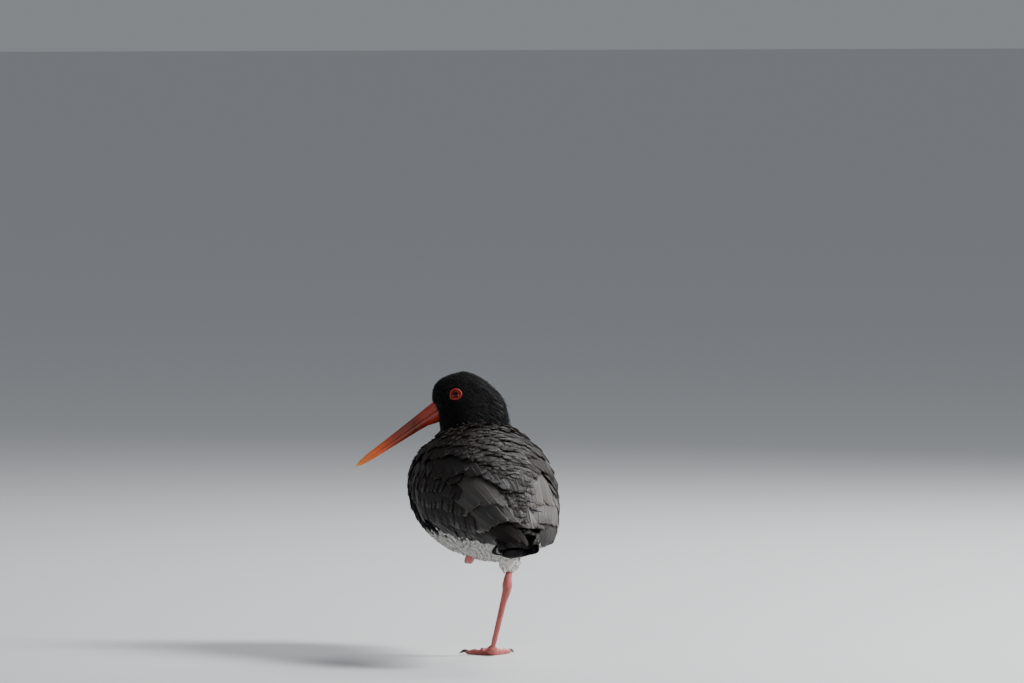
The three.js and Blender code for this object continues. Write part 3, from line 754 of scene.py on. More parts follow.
def skin_material():
    """Down in the black and white of the plumage over it."""
    material, tree, shader = new_material("skin down", Roughness=0.8)
    coordinates = node(tree, "TexCoord")
    parts = node(tree, "SeparateXYZ")
    tree.links.new(coordinates.outputs["Object"], parts.inputs[0])
    line = maths(tree, "SUBTRACT", parts.outputs[2], 0.0975)
    line = maths(tree, "ADD", line, maths(tree, "MULTIPLY", parts.outputs[1], 0.03))
    line = maths(tree, "ADD", line, maths(tree, "MULTIPLY", noise_value(tree, 240), 0.002))
    above = between(tree, line, -0.0005, 0.0005)
    colour = mix(tree, above, tuple(looks().white_colour), tuple(looks().black_colour))
    feed(tree, shader.inputs["Base Color"], colour)
    return material


class OYSTER_OT_skin(bpy.types.Operator):
    """One skin under the plumage of head, neck, body and thigh, and under the folded wings"""

    bl_idname = "oystercatcher.skin"
    bl_label = "Skin"

    def execute(self, context):
        mesh = one_surface(joined_solids(), context)
        points = np.empty(len(mesh.vertices) * 3, np.float32)
        normals = np.empty(len(mesh.vertices) * 3, np.float32)
        mesh.vertices.foreach_get("co", points)
        mesh.vertex_normals.foreach_get("vector", normals)
        points = points.reshape(-1, 3) / MM - SHIFT
        points = under_wings(points - normals.reshape(-1, 3) * coat_depth(points)[:, None])
        mesh.vertices.foreach_set("co", to_row(points).astype(np.float32).ravel())
        bm = bmesh.new()
        bm.from_mesh(mesh)
        bmesh.ops.smooth_vert(
            bm, verts=bm.verts, factor=0.5, use_axis_x=True, use_axis_y=True, use_axis_z=True,
        )
        bm.to_mesh(mesh)
        bm.free()
        for polygon in mesh.polygons:
            polygon.use_smooth = True
        mesh.materials.append(skin_material())
        settle(link("skin", mesh), "black_feathers", *SKIN_NODES)
        return {"FINISHED"}


BILL_HALF = 6.3
EYE_CLEAR = 5.9


def bill_clear(points):
    """True clear of the bill and the eyes."""
    from_root = points - on_bill(0, 0, 0)
    along = from_root @ BILL_ALONG
    off = np.linalg.norm(from_root - along[:, None] * BILL_ALONG, axis=1)
    over = from_root @ BILL_UP / np.maximum(off, 1e-6)
    feather_line = np.where(over > 0, -6 + 8 * over**3, -6 - 3 * over**3)
    clear = (along < feather_line) | (off > BILL_HALF)
    for side in ("left", "right"):
        clear &= np.linalg.norm(points - eye_centre(side), axis=1) > EYE_CLEAR
    return clear


class OYSTER_OT_head_coat(bpy.types.Operator):
    """Short velvety feathers of the head and neck, with loose tips at the nape"""

    bl_idname = "oystercatcher.head_coat"
    bl_label = "Head Plumage"

    def execute(self, context):
        p = looks()
        tree, points, polygons = skin_tree()
        rng = np.random.default_rng(p.seed)

        def spacing(places):
            gap = 0.85 + 0.62 * ease(eye_distance(places), 8, 45)
            return np.where(is_head(places) & bill_clear(places), gap, 0)

        roots, normals = scatter(points, polygons, spacing, rng, 2.0)
        far = ease(eye_distance(roots), 5, 42)
        face, neck = in_mm(p.face_tuft), in_mm(p.neck_tuft)
        lengths = (face + (neck - face) * far) * rng.uniform(0.8, 1.2, len(roots))
        halves = (0.4 + 0.55 * far) * rng.uniform(0.8, 1.2, len(roots))
        depth = coat_depth(roots) * (0.9 + 0.3 * far)
        mesh = tuft_mesh("head plumage", tree, roots, normals, lengths, halves, depth, rng)
        mesh.materials.append(feather_materials()["plumage black"])
        settle(link("head_plumage", mesh), "black_feathers")

        def nape_spacing(places):
            behind = (places - [0.0, NECK_Y, 0.0]) @ HEAD_ALONG < -6 + 0.5 * (places[:, 2] - 186)
            return np.where(is_head(places) & behind & (places[:, 2] < 214), 3.0, 0)

        roots, normals = scatter(points, polygons, nape_spacing, rng, 1.5)
        low = ease(212 - roots[:, 2], 0, 26)
        lengths = (6 + 5.5 * low) * rng.uniform(0.7, 1.25, len(roots))
        halves = rng.uniform(0.3, 0.5, len(roots))
        depth = coat_depth(roots) + (0.5 + 1.7 * low) * rng.uniform(0.3, 1.1, len(roots))
        mesh = tuft_mesh("nape fringe", tree, roots, normals, lengths, halves, depth, rng, 0.22, 0.5)
        mesh.materials.append(feather_materials()["plumage black"])
        settle(link("nape_fringe", mesh), "black_feathers")
        return {"FINISHED"}


# The folded wing's lower edge: y and angle round the body. Its upper edge, from where its front begins
WING_EDGE = ([-60, -40, -15, 90, 160], [0, -13, -24, -29, -29])
WING_TOP = ([-62, -40, 160], [60, 95, 95])
THIGH_TOP = 75


def wing_cover(points):
    """True where the folded wing's large feathers cover the body."""
    y = points[:, 1]
    angle = np.degrees(body_angle(points))
    angle = np.where(angle > 90, 180 - angle, angle)
    angle = np.where(angle < -90, -180 - angle, angle)
    inside = (angle > np.interp(y, *WING_EDGE)) & (angle < np.interp(y, *WING_TOP))
    return (y > -56) & inside & (points[:, 2] > 88)


def on_left(points):
    """Points with those of the right side mirrored to the left."""
    return points * np.where(points[:, :1] < 0, [-1, 1, 1], 1)


class OYSTER_OT_body_coat(bpy.types.Operator):
    """Contour feathers of breast, belly, rump and thigh"""

    bl_idname = "oystercatcher.body_coat"
    bl_label = "Body Plumage"

    def execute(self, context):
        p = looks()
        tree, points, polygons = skin_tree()
        rng = np.random.default_rng(p.seed + 1)

        def spacing(places):
            gap = 2.05 - 0.45 * ease(-border_height(places), -4, 0)
            gap = np.where(places[:, 2] < THIGH_TOP, 1.15, gap)
            return np.where(is_head(places) | wing_cover(places), 0, gap)

        roots, normals = scatter(points, polygons, spacing, rng, 1.8)
        thigh = roots[:, 2] < THIGH_TOP
        length = np.where(thigh, in_mm(p.thigh_tuft), in_mm(p.body_tuft))
        lengths = length * rng.uniform(0.75, 1.2, len(roots))
        halves = np.where(thigh, 0.62, 1.95) * rng.uniform(0.75, 1.2, len(roots))
        dark = (border_height(roots) > 0) & (roots[:, 1] < 100)
        below = np.interp(roots[:, 1], *WING_EDGE) - np.degrees(body_angle(on_left(roots)))
        under = np.where(roots[:, 1] > -62, 1 - ease(below, 2, 16), 0)
        for name, chosen, look, slot in (
            ("breast_plumage", dark, "plumage black", "black_feathers"),
            ("belly_plumage", ~dark, "plumage white", "white_feathers"),
        ):
            depth = (coat_depth(roots[chosen]) + 0.3) * (1 - 0.62 * under[chosen])
            mesh = tuft_mesh(
                name, tree, roots[chosen], normals[chosen], lengths[chosen], halves[chosen], depth, rng, 0.16,
            )
            mesh.materials.append(feather_materials()[look])
            settle(link(name, mesh), slot)
        return {"FINISHED"}


# Rows of the folded wing, from its lower front to its upper back: how many, root and tip of the first and
# last feather as a station and an angle, their half widths, lift at the tip and how pointed they are
WING_ROWS = (
    ("primaries", 8, (66, -18), (128, -16), 5.0, (92, 40), (153, 50), 4.6, -0.1, 0.8),
    ("secondaries", 12, (-24, -15), (24, -27), 6.2, (66, -20), (116, -30), 6.0, 0.1, 0.15),
    ("tertials", 6, (14, 4), (102, 0), 8.4, (40, 74), (134, 84), 8.2, 0.55, 0.3),
    ("tertial_coverts", 7, (14, 16), (70, 12), 6.6, (28, 70), (108, 78), 6.6, 0.8, 0.25),
    ("greater_coverts", 14, (-52, -8), (-18, -19), 6.4, (46, 2), (86, -8), 6.4, 0.95, 0.12),
    ("median_coverts", 15, (-66, 2), (-42, -9), 5.6, (36, 18), (68, 8), 5.8, 1.05, 0.12),
    ("lesser_coverts", 15, (-74, 11), (-56, 1), 5.0, (24, 30), (52, 22), 5.2, 1.2, 0.12),
    ("shoulder_coverts", 14, (-79, 20), (-62, 10), 4.8, (8, 42), (36, 34), 5.2, 1.3, 0.12),
    ("long_scapulars", 10, (-36, 42), (8, 28), 7.2, (30, 82), (88, 86), 7.2, 1.45, 0.35),
    ("scapulars", 12, (-58, 44), (-24, 32), 6.2, (8, 82), (52, 86), 6.4, 1.7, 0.25),
    ("short_scapulars", 12, (-72, 38), (-46, 30), 5.2, (-16, 80), (20, 84), 5.4, 1.95, 0.2),
)
WING_TILT = 0.4
WING_LOWER = 0.5


class OYSTER_OT_wings(bpy.types.Operator):
    """Flight feathers, coverts and scapulars of both folded wings"""

    bl_idname = "oystercatcher.wings"
    bl_label = "Wing Feathers"

    def execute(self, context):
        for side, side_name in ((1, "left"), (-1, "right")):
            rng = np.random.default_rng(looks().seed + 10 + side)
            for name, count, root0, tip0, half0, root1, tip1, half1, lift, point in WING_ROWS:
                t = np.linspace(0, 1, count)[:, None]
                root = np.array(root0) * (1 - t) + np.array(root1) * t
                tip = np.array(tip0) * (1 - t) + np.array(tip1) * t
                root = root + rng.normal(0, 0.6, root.shape)
                tip = tip + rng.normal(0, (2.0, 1.4), tip.shape)
                half = (half0 * (1 - t) + half1 * t)[:, 0] * rng.uniform(0.92, 1.08, count)
                lifts = lift + rng.normal(0, 0.2, count) - WING_LOWER
                place = laid_place(root, tip, lifts, WING_TILT, side)
                mesh = vane_mesh(
                    f"{name} {side_name}", place, count, half, np.full(count, point), rng,
                    splits=1 if name == "primaries" else 2,
                )
                # The tertials and their coverts take the material with the painted sheen.
                look = "plumage tertial" if name.startswith("tertial") else "plumage wing"
                mesh.materials.append(feather_materials()[look])
                settle(link(f"{name}_{side_name}", mesh), "brown_feathers")
        return {"FINISHED"}


# The mantle's rows run from one y to another. The rest change along them: y, and at it the degrees that a
# row reaches to each side, the degrees between feathers, their length, half width and lift at the tip
MANTLE_RUN = (-86, 112, 5.6)
MANTLE_REACH = ([-86, -60, -20, 36, 112], [26, 38, 29, 17, 16])
MANTLE_SPACING = ([-86, 36, 112], [6.2, 9, 15])
MANTLE_LENGTH = ([-86, 0], [15, 23])
MANTLE_HALF = ([-86, 0, 112], [3.8, 5.2, 5.6])
MANTLE_LIFT = ([-86, 36, 112], [1.7, 0.9, -0.5])


class OYSTER_OT_mantle(bpy.types.Operator):
    """Rounded feathers of the upper back between the wings"""

    bl_idname = "oystercatcher.mantle"
    bl_label = "Mantle Feathers"

    def execute(self, context):
        rng = np.random.default_rng(looks().seed + 3)
        roots, tips, halves, lifts = [], [], [], []
        for k, y in enumerate(np.arange(*MANTLE_RUN)):
            reach = np.interp(y, *MANTLE_REACH)
            count = int(2 * reach / np.interp(y, *MANTLE_SPACING)) + 1
            shift = (k % 2) * 0.5
            for i in range(count + 1):
                angle = 90 - reach + (i + shift) * 2 * reach / count
                roots.append((y, angle))
                tips.append((y + np.interp(y, *MANTLE_LENGTH), 90 + (angle - 90) * 0.94))
                halves.append(np.interp(y, *MANTLE_HALF))
                lifts.append(np.interp(y, *MANTLE_LIFT))
        roots, tips = np.array(roots, float), np.array(tips, float)
        count = len(roots)
        roots = roots + rng.normal(0, (1.2, 1.6), roots.shape)
        tips = tips + rng.normal(0, (2.2, 2.2), tips.shape)
        place = laid_place(roots, tips, np.array(lifts) + rng.normal(0, 0.22, count), 0, 1)
        half = np.array(halves) * rng.uniform(0.82, 1.18, count)
        mesh = vane_mesh("mantle", place, count, half, rng.uniform(0.1, 0.5, count), rng, rows=13, columns=7)
        mesh.materials.append(feather_materials()["plumage mantle"])
        settle(link("mantle", mesh), "brown_feathers")
        return {"FINISHED"}


TAIL_FAN = math.radians(1.2)
TAIL_BEND = math.radians(18)
TAIL_PAIRS = 6
TAIL_ROOT_Y = 96
TAIL_ROOT_Z = 102
TAIL_DROP = 15.5 / 57
TAIL_HALF = 6.6
TAIL_OUT = 1.6
TAIL_SHORTER = 3.2
TAIL_UNDER = 0.45
TAIL_ARCH_RADIUS = 400
COVERT_ROWS = 5
COVERT_ACROSS = 6.4
COVERT_RUN = 5.5
COVERT_LENGTH = 25.0
# How far the coverts lie from the tail's middle: at y, above it and below it
COVERT_Y = [86, 100, 140]
COVERT_ABOVE = [8.5, 7.0, 2.4]
COVERT_BELOW = [11.0, 9.0, 2.6]


def per_feather(*arrays):
    """Arrays with one number per feather, shaped to go with arrays of rows and columns."""
    return (a[:, None, None] for a in arrays)


def tail_place(turn, sides, index, length):
    """Places tail feathers as a fan of pairs, each lying under the pair inside it."""
    turn, sides, index, length = per_feather(turn, sides, index, length)

    def place(t, across, height):
        reach = t * length
        x = sides * index * TAIL_OUT - reach * np.sin(turn) + across * np.cos(turn)
        y = TAIL_ROOT_Y + reach * np.cos(turn) + across * np.sin(turn)
        arch = -((x - reach * math.sin(TAIL_BEND)) ** 2) / (2 * TAIL_ARCH_RADIUS)
        z = TAIL_ROOT_Z - TAIL_DROP * reach + arch + height - 0.4 - index * TAIL_UNDER
        return np.stack([x, y, z], -1)

    return place


def covert_place(row, out, start_y, reach, side):
    """Places the short feathers over the tail, where side is 1, or under it, where side is -1."""
    row, out, start_y, reach = per_feather(row, out, start_y, reach)

    def place(t, across, height):
        y = start_y + reach * t
        middle = (y - TAIL_ROOT_Y) * math.tan(TAIL_BEND)
        x = out * (1 - 0.12 * t) + across + middle
        slope = TAIL_ROOT_Z - TAIL_DROP * (y - TAIL_ROOT_Y)
        thick = np.interp(y, COVERT_Y, COVERT_ABOVE if side > 0 else COVERT_BELOW)
        layer = (COVERT_ROWS - 1 - row) * 0.25 + t * 0.5
        rounding = 1 - ((x - middle) / 21) ** 2 * 0.6
        z = slope - (x - middle) ** 2 / 420 + side * (thick * rounding - 1.2 + layer + height)
        return np.stack([x, y, z], -1)

    return place


def tail_material():
    """The tail feathers' material: white bases with a black end."""
    material = feather_materials()["plumage tail"].copy()
    material.name = "tail banded"
    tree = material.node_tree
    socket = tree.nodes["Principled BSDF"].inputs["Base Color"]
    before = socket.links[0].from_socket
    _, along = map_parts(tree, "Vane")
    feed(tree, socket, mix(tree, between(tree, along, 0.42, 0.5), tuple(looks().white_colour), before))
    return material


class OYSTER_OT_tail(bpy.types.Operator):
    """Tail feathers with their white bases and the coverts over and under them"""

    bl_idname = "oystercatcher.tail"
    bl_label = "Tail"

    def execute(self, context):
        rng = np.random.default_rng(looks().seed + 5)
        count = 2 * TAIL_PAIRS
        index = np.repeat(np.arange(TAIL_PAIRS), 2).astype(float)
        sides = np.tile([-1.0, 1.0], TAIL_PAIRS)
        turn = -sides * TAIL_FAN * (index + 0.5) - TAIL_BEND
        length = in_mm(looks().tail_length) - index * TAIL_SHORTER + rng.normal(0, 0.5, count)
        place = tail_place(turn, sides, index, length)
        half, point = np.full(count, TAIL_HALF), np.full(count, 0.25)
        mesh = vane_mesh("tail", place, count, half, point, rng, thick=0.35, camber=0.35)
        mesh.materials.append(tail_material())
        settle(link("tail_feathers", mesh), "black_feathers", "tail")
        for name, side, look, slot in (
            ("upper_tail_coverts", 1, "plumage tail", "black_feathers"),
            ("under_tail_coverts", -1, "plumage white", "white_feathers"),
        ):
            rows = [(row, k) for row in range(COVERT_ROWS) for k in range(5 - row % 2)]
            row = np.array([r for r, _ in rows], float)
            out = np.array([(k - (4 - r % 2) / 2) for r, k in rows]) * COVERT_ACROSS
            count = len(rows)
            out = out * (1 - 0.05 * row) + rng.normal(0, 0.7, count)
            start_y = 90 + row * COVERT_RUN + rng.normal(0, 0.8, count)
            reach = COVERT_LENGTH + rng.normal(0, 1.2, count)
            place = covert_place(row, out, start_y, reach, side)
            half, point = np.full(count, 5.0), np.full(count, 0.3)
            mesh = vane_mesh(name, place, count, half, point, rng, rows=14, columns=7)
            mesh.materials.append(feather_materials()[look])
            settle(link(name, mesh), slot)
        return {"FINISHED"}


def loft(name, stops, sides=28):
    """A closed round form from a circle extruded from stop to stop. A stop is a centre, two directions
    across it, and half widths to each side, up and down. Its UV map Place has the turn and the way along."""
    bm = bmesh.new()
    number = bm.verts.layers.int.new("number")
    station = bm.verts.layers.float.new("station")
    ring = bmesh.ops.create_circle(bm, cap_ends=False, segments=sides, radius=1)["verts"]
    for i, vertex in enumerate(ring):
        vertex[number] = i

    def put(vertices, stop, at):
        centre, across, upward, wide, up, down = stop
        for vertex in vertices:
            turn = 2 * math.pi * vertex[number] / sides
            rise = math.sin(turn)
            point = centre + across * wide * math.cos(turn) + upward * (up if rise > 0 else down) * rise
            vertex.co = to_row(point)
            vertex[station] = at

    put(ring, stops[0], 0.0)
    edges = list(bm.edges)
    first = ring
    for k, stop in enumerate(stops[1:], 1):
        made = bmesh.ops.extrude_edge_only(bm, edges=edges)["geom"]
        ring = [g for g in made if isinstance(g, bmesh.types.BMVert)]
        edges = [g for g in made if isinstance(g, bmesh.types.BMEdge)]
        put(ring, stop, k / (len(stops) - 1))
    for end, stop in ((first, stops[0]), (ring, stops[-1])):
        bmesh.ops.pointmerge(bm, verts=end, merge_co=Vector(to_row(stop[0])))
    bmesh.ops.recalc_face_normals(bm, faces=bm.faces)
    place = bm.loops.layers.uv.new("Place")
    for face in bm.faces:
        turns = [loop.vert[number] / sides for loop in face.loops]
        wraps = max(turns) - min(turns) > 0.5
        for loop, turn in zip(face.loops, turns):
            loop[place].uv = (turn + 1 if wraps and turn < 0.5 else turn, loop.vert[station])
    return link(name, finished(bm, name))


def rounded(count):
    """Even places from 0 to 1 that crowd towards both ends, and how full a round end is there."""
    turn = np.linspace(0, math.pi, count)
    return (1 - np.cos(turn)) / 2, np.sqrt(np.sin(turn).clip(0))


# The bill: way along from the feather line, height above and below its middle line, and half width
BILL = np.array([
    [-8, 6.6, 9.4, 5.6],
    [0, 6.3, 9.0, 4.9],
    [8, 5.7, 6.4, 3.7],
    [16, 5.2, 5.5, 3.0],
    [30, 4.4, 4.7, 2.3],
    [47, 3.5, 3.7, 1.9],
    [60, 3.0, 3.0, 1.5],
    [67, 2.1, 2.0, 1.1],
    [71.5, 0.9, 0.9, 0.7],
    [72.5, 0.5, 0.5, 0.5],
], float)
BILL_START, BILL_END = BILL[0, 0], BILL[-1, 0]
# Stations of the bill's rings, closest along the nostrils
BILL_RINGS = np.concatenate([
    [BILL_START], np.linspace(-7.6, 4, 6), np.linspace(5, 19, 26), np.linspace(21, 66, 22),
    np.linspace(68, 72.4, 8), [BILL_END],
])
MOUTH_UP = -0.4
MOUTH_GAP = 0.08
MOUTH_GROOVE = 0.28
MOUTH_WIDTH = 0.55
NOSTRIL_AT = (12, 1.7)
NOSTRIL_HALF = (5.2, 0.85)
NOSTRIL_DEPTH = 1.1


def bill_material():
    """Red horn that is dusky in the middle and turns orange, then yellow, at the tip."""
    material, tree, shader = new_material("bill horn", Roughness=0.32, Coat_Weight=0.25, Coat_Roughness=0.25)
    _, along = map_parts(tree, "Place")
    noise = noise_value(tree, 160)
    red, tip = tuple(looks().bill_colour), tuple(looks().bill_tip_colour)
    stops = (
        (0.0, red), (0.25, scaled(red, 0.85)), (0.5, (0.2, 0.03, 0.016)), (0.66, (0.3, 0.035, 0.012)),
        (0.78, tip), (0.94, (0.85, 0.24, 0.025)), (1.0, (0.8, 0.5, 0.16)),
    )
    ramp = node(tree, "ValToRGB")
    ends = ramp.color_ramp.elements
    for end, (at, colour) in ((ends[0], stops[0]), (ends[1], stops[-1])):
        end.position = at
        end.color = colour[:3] + (1,)
    for at, colour in stops[1:-1]:
        ramp.color_ramp.elements.new(at).color = colour[:3] + (1,)
    feed(tree, ramp.inputs[0], maths(tree, "ADD", along, maths(tree, "MULTIPLY", noise, 0.06)))
    feed(tree, shader.inputs["Base Color"], ramp.outputs[0])
    add_relief(tree, shader, noise, 0.15, 0.0005)
    return material


def press_bill(vertex, upper):
    """Presses the nostril slits and the edge along the mouth into a bill's vertex."""
    point = np.array(vertex.co) / MM - SHIFT
    away = point - on_bill(0, 0, 0)
    s, out, up = away @ BILL_ALONG, away @ HEAD_LEFT, away @ BILL_UP
    inward = 0.0
    if upper:
        slit = ((s - NOSTRIL_AT[0]) / NOSTRIL_HALF[0]) ** 2 + ((up - NOSTRIL_AT[1]) / NOSTRIL_HALF[1]) ** 2
        inward += NOSTRIL_DEPTH * math.exp(-(slit**2))
    groove = ((up - MOUTH_UP) / MOUTH_WIDTH) ** 2
    inward += MOUTH_GROOVE * math.exp(-groove) * float(ease(72 - s, 0, 8))
    inward = min(inward, abs(out) * 0.8)
    point = point - HEAD_LEFT * math.copysign(inward, out)
    vertex.co = to_row(point)


class OYSTER_OT_bill(bpy.types.Operator):
    """Upper and lower bill with nostrils and the line of the mouth"""

    bl_idname = "oystercatcher.bill"
    bl_label = "Bill"

    def execute(self, context):
        material = bill_material()
        for half, upper in (("upper", True), ("lower", False)):
            line = MOUTH_UP + (MOUTH_GAP / 2 if upper else -MOUTH_GAP / 2)
            stops = []
            for k, s in enumerate(BILL_RINGS):
                up, down, wide = (np.interp(s, BILL[:, 0], BILL[:, i]) for i in (1, 2, 3))
                end = 0.05 if k in (0, len(BILL_RINGS) - 1) else 1
                if upper:
                    centre, widths = on_bill(s, 0, line), (wide * end, (up - line) * end, 0.02)
                else:
                    tuck = -0.6 * ease(s, 66, 72)
                    centre = on_bill(s + tuck, 0, line)
                    widths = (wide * 0.95 * end, 0.02, (down + line) * end)
                stops.append((centre, HEAD_LEFT, BILL_UP, *widths))
            piece = loft(f"bill_{half}_horn", stops, 64)
            for vertex in piece.data.vertices:
                press_bill(vertex, upper)
            piece.data.materials.append(material)
            settle(piece, "bill_horn", f"bill_{half}")
        return {"FINISHED"}


# The pupil's edge. The ring's radius, half thickness and how far it is set in are in metres
PUPIL_EDGE = math.cos(math.radians(27))
RING_RADIUS = 0.0042
RING_HALF = 0.0008
RING_SINK = 0.0003
RING_LONG = 1.04
RING_LOW = 0.94
RING_WOBBLE = 0.06


def eyeball(side, place, radius):
    """An eye's mesh, with its second material where the pupil is."""
    bm = bmesh.new()
    bmesh.ops.create_uvsphere(bm, u_segments=40, v_segments=30, radius=radius)
    for face in bm.faces:
        face.material_index = 1 if face.calc_center_median().normalized().z > PUPIL_EDGE else 0
    bmesh.ops.transform(bm, matrix=place, verts=bm.verts)
    return finished(bm, f"eyeball {side}")


def eyelid_ring(side, place):
    """The bare ring round an eye, a little uneven and longer than high."""
    bm = bmesh.new()
    ring = bmesh.ops.create_circle(bm, cap_ends=False, segments=14, radius=RING_HALF)["verts"]
    bmesh.ops.rotate(bm, verts=ring, matrix=Matrix.Rotation(math.pi / 2, 3, "X"))
    bmesh.ops.translate(bm, verts=ring, vec=(RING_RADIUS, 0, 0))
    bmesh.ops.spin(
        bm, geom=list(bm.verts) + list(bm.edges), axis=(0, 0, 1), cent=(0, 0, 0),
        steps=44, angle=2 * math.pi, use_merge=True,
    )
    bmesh.ops.remove_doubles(bm, verts=bm.verts, dist=1e-7)
    bmesh.ops.recalc_face_normals(bm, faces=bm.faces)
    for vertex in bm.verts:
        wobble = 1 + RING_WOBBLE * math.sin(3 * math.atan2(vertex.co.y, vertex.co.x))
        vertex.co.x *= wobble * RING_LONG
        vertex.co.y *= RING_LOW
    bmesh.ops.transform(bm, matrix=place, verts=bm.verts)
    return finished(bm, f"eye ring {side}")


class OYSTER_OT_eyes(bpy.types.Operator):
    """Red eyes with dark pupils, and orange rings darkened with painted shade"""

    bl_idname = "oystercatcher.eyes"
    bl_label = "Eyes"

    def execute(self, context):
        red, orange = tuple(looks().iris_colour), tuple(looks().shaded_ring_colour)
        iris = grained_material(
            "iris", 900, scaled(red, 0.6), red, Roughness=0.1, Coat_Weight=0.3, Coat_Roughness=0.03,
        )
        pupil, _, _ = new_material(
            "pupil", Base_Color=(0.001, 0.001, 0.001, 1), Roughness=0.1, Specular_IOR_Level=0.25,
        )
        # The ring's orange-red is darkened here with painted shade.
        ring_look = grained_material(
            "eye ring", 1400, scaled(orange, 0.7), orange, relief=0.0002, on_object=False, Roughness=0.45,
        )
        for side in ("left", "right"):
            low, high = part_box(f"eye_{side}")
            centre = (low + high) / 2
            ring_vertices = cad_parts[f"eye_ring_{side}"].data.vertices
            ring_centre = sum((v.co for v in ring_vertices), Vector()) / len(ring_vertices)
            look = (ring_centre - centre).normalized()
            turn = Vector((0, 0, 1)).rotation_difference(look).to_matrix().to_4x4()
            mesh = eyeball(side, Matrix.Translation(centre) @ turn, (high.z - low.z) / 2)
            mesh.materials.append(iris)
            mesh.materials.append(pupil)
            settle(link(f"eyeball_{side}", mesh), "eye_surface", f"eye_{side}")
            mesh = eyelid_ring(side, Matrix.Translation(ring_centre - look * RING_SINK) @ turn)
            mesh.materials.append(ring_look)
            settle(link(f"eyelid_ring_{side}", mesh), "eye_ring_skin", f"eye_ring_{side}")
        return {"FINISHED"}


def leg_material(name="leg skin", plates=34, front=0.75):
    """Pink-red leg skin with a net of small scales and a row of broad plates down the front."""
    if name in bpy.data.materials:
        return bpy.data.materials[name]
    material, tree, shader = new_material(name, Roughness=0.46, Subsurface_Weight=0.08)
    shader.inputs["Subsurface Radius"].default_value = (0.002, 0.0006, 0.0004)
    coordinates = node(tree, "TexCoord")
    scales = node(tree, "TexVoronoi", feature="DISTANCE_TO_EDGE")
    scales.inputs["Scale"].default_value = 720
    tree.links.new(coordinates.outputs["Object"], scales.inputs["Vector"])
    net = between(tree, scales.outputs[0], 0, 0.16, kind="SMOOTHSTEP")
    around, along = map_parts(tree, "Place")
    facing = maths(tree, "MULTIPLY", maths(tree, "SUBTRACT", around, front), 2 * math.pi)
    facing = maths(tree, "GREATER_THAN", maths(tree, "COSINE", facing), 0.35)
    seam = maths(tree, "ABSOLUTE", maths(tree, "SINE", maths(tree, "MULTIPLY", along, plates * math.pi)))
    seam = maths(tree, "MINIMUM", maths(tree, "MULTIPLY", seam, 4.0), 1.0)
    plated = mix(tree, facing, net, seam)
    pink = tuple(looks().leg_colour)
    light = tuple(min(1, c) for c in scaled(pink, 1.25))
    colour = mix(tree, noise_value(tree, 90), scaled(pink, 0.7), light)
    seams = maths(tree, "MULTIPLY", maths(tree, "SUBTRACT", 1.0, plated), 0.5)
    feed(tree, shader.inputs["Base Color"], mix(tree, seams, colour, scaled(pink, 0.3)))
    add_relief(tree, shader, plated, 0.6, 0.0004)
    return material


def limb_stops(points, wide, deep, count, facing=(0.0, 1.0, 0.0)):
    """Stops of a round-ended limb along a smooth path through points, with radii read along it."""
    t, full = rounded(count)
    points = np.asarray(points, float)
    ats = np.linspace(0, 1, len(points))
    path = np.stack([np.interp(t, ats, points[:, i]) for i in range(3)], -1)
    for _ in range(2):
        path[1:-1] = (path[:-2] + 2 * path[1:-1] + path[2:]) / 4
    ways = unit(np.gradient(path, axis=0))
    facing = np.asarray(facing, float)
    stops = []
    for k in range(count):
        across = unit(np.cross(ways[k], facing))
        upward = np.cross(across, ways[k])
        w = np.interp(t[k], np.linspace(0, 1, len(wide)), wide) * full[k]
        d = np.interp(t[k], np.linspace(0, 1, len(deep)), deep) * full[k]
        stops.append((path[k], across, upward, w, d, d))
    return stops


def grounded(piece):
    """Flattens what would reach below the floor, as a sole that is pressed on it."""
    for vertex in piece.data.vertices:
        vertex.co.z = max(vertex.co.z, 0.0)


# The standing leg: points down its middle, and at each its half width and half depth
LEG_PATH = [
    BARE_TOP + (BARE_TOP - ANKLE) * 0.5, BARE_TOP, ANKLE + [-0.5, -1, 5], ANKLE, ANKLE + [0.5, -0.4, -5],
    ANKLE * 0.75 + FOOT * 0.25, ANKLE * 0.5 + FOOT * 0.5, ANKLE * 0.25 + FOOT * 0.75, FOOT + [0, 0.6, 1.5],
]
LEG_WIDE = [2.7, 2.8, 3.2, 3.9, 3.2, 2.5, 2.4, 2.5, 3.3]
LEG_DEEP = [3.0, 3.0, 4.0, 5.0, 3.9, 3.2, 3.0, 3.1, 3.4]
PAD_PATH = [FOOT + [0.2, 2.2, 2.6], FOOT + [0, -2, -1], FOOT + [0, -8, -2.4]]
PAD_WIDE = [3.6, 4.8, 3.6]
PAD_DEEP = [3.4, 3.4, 2.4]

# Toes: name, degrees that it points out and length
TOES = (("inner", 38.0, 27.0), ("middle", 1.0, 34.0), ("outer", -41.0, 29.0))
TOE_HALF = 2.5
TOE_PLATES = ("toe skin", 17, 0.25)
CLAW_OVERLAP = 2.4


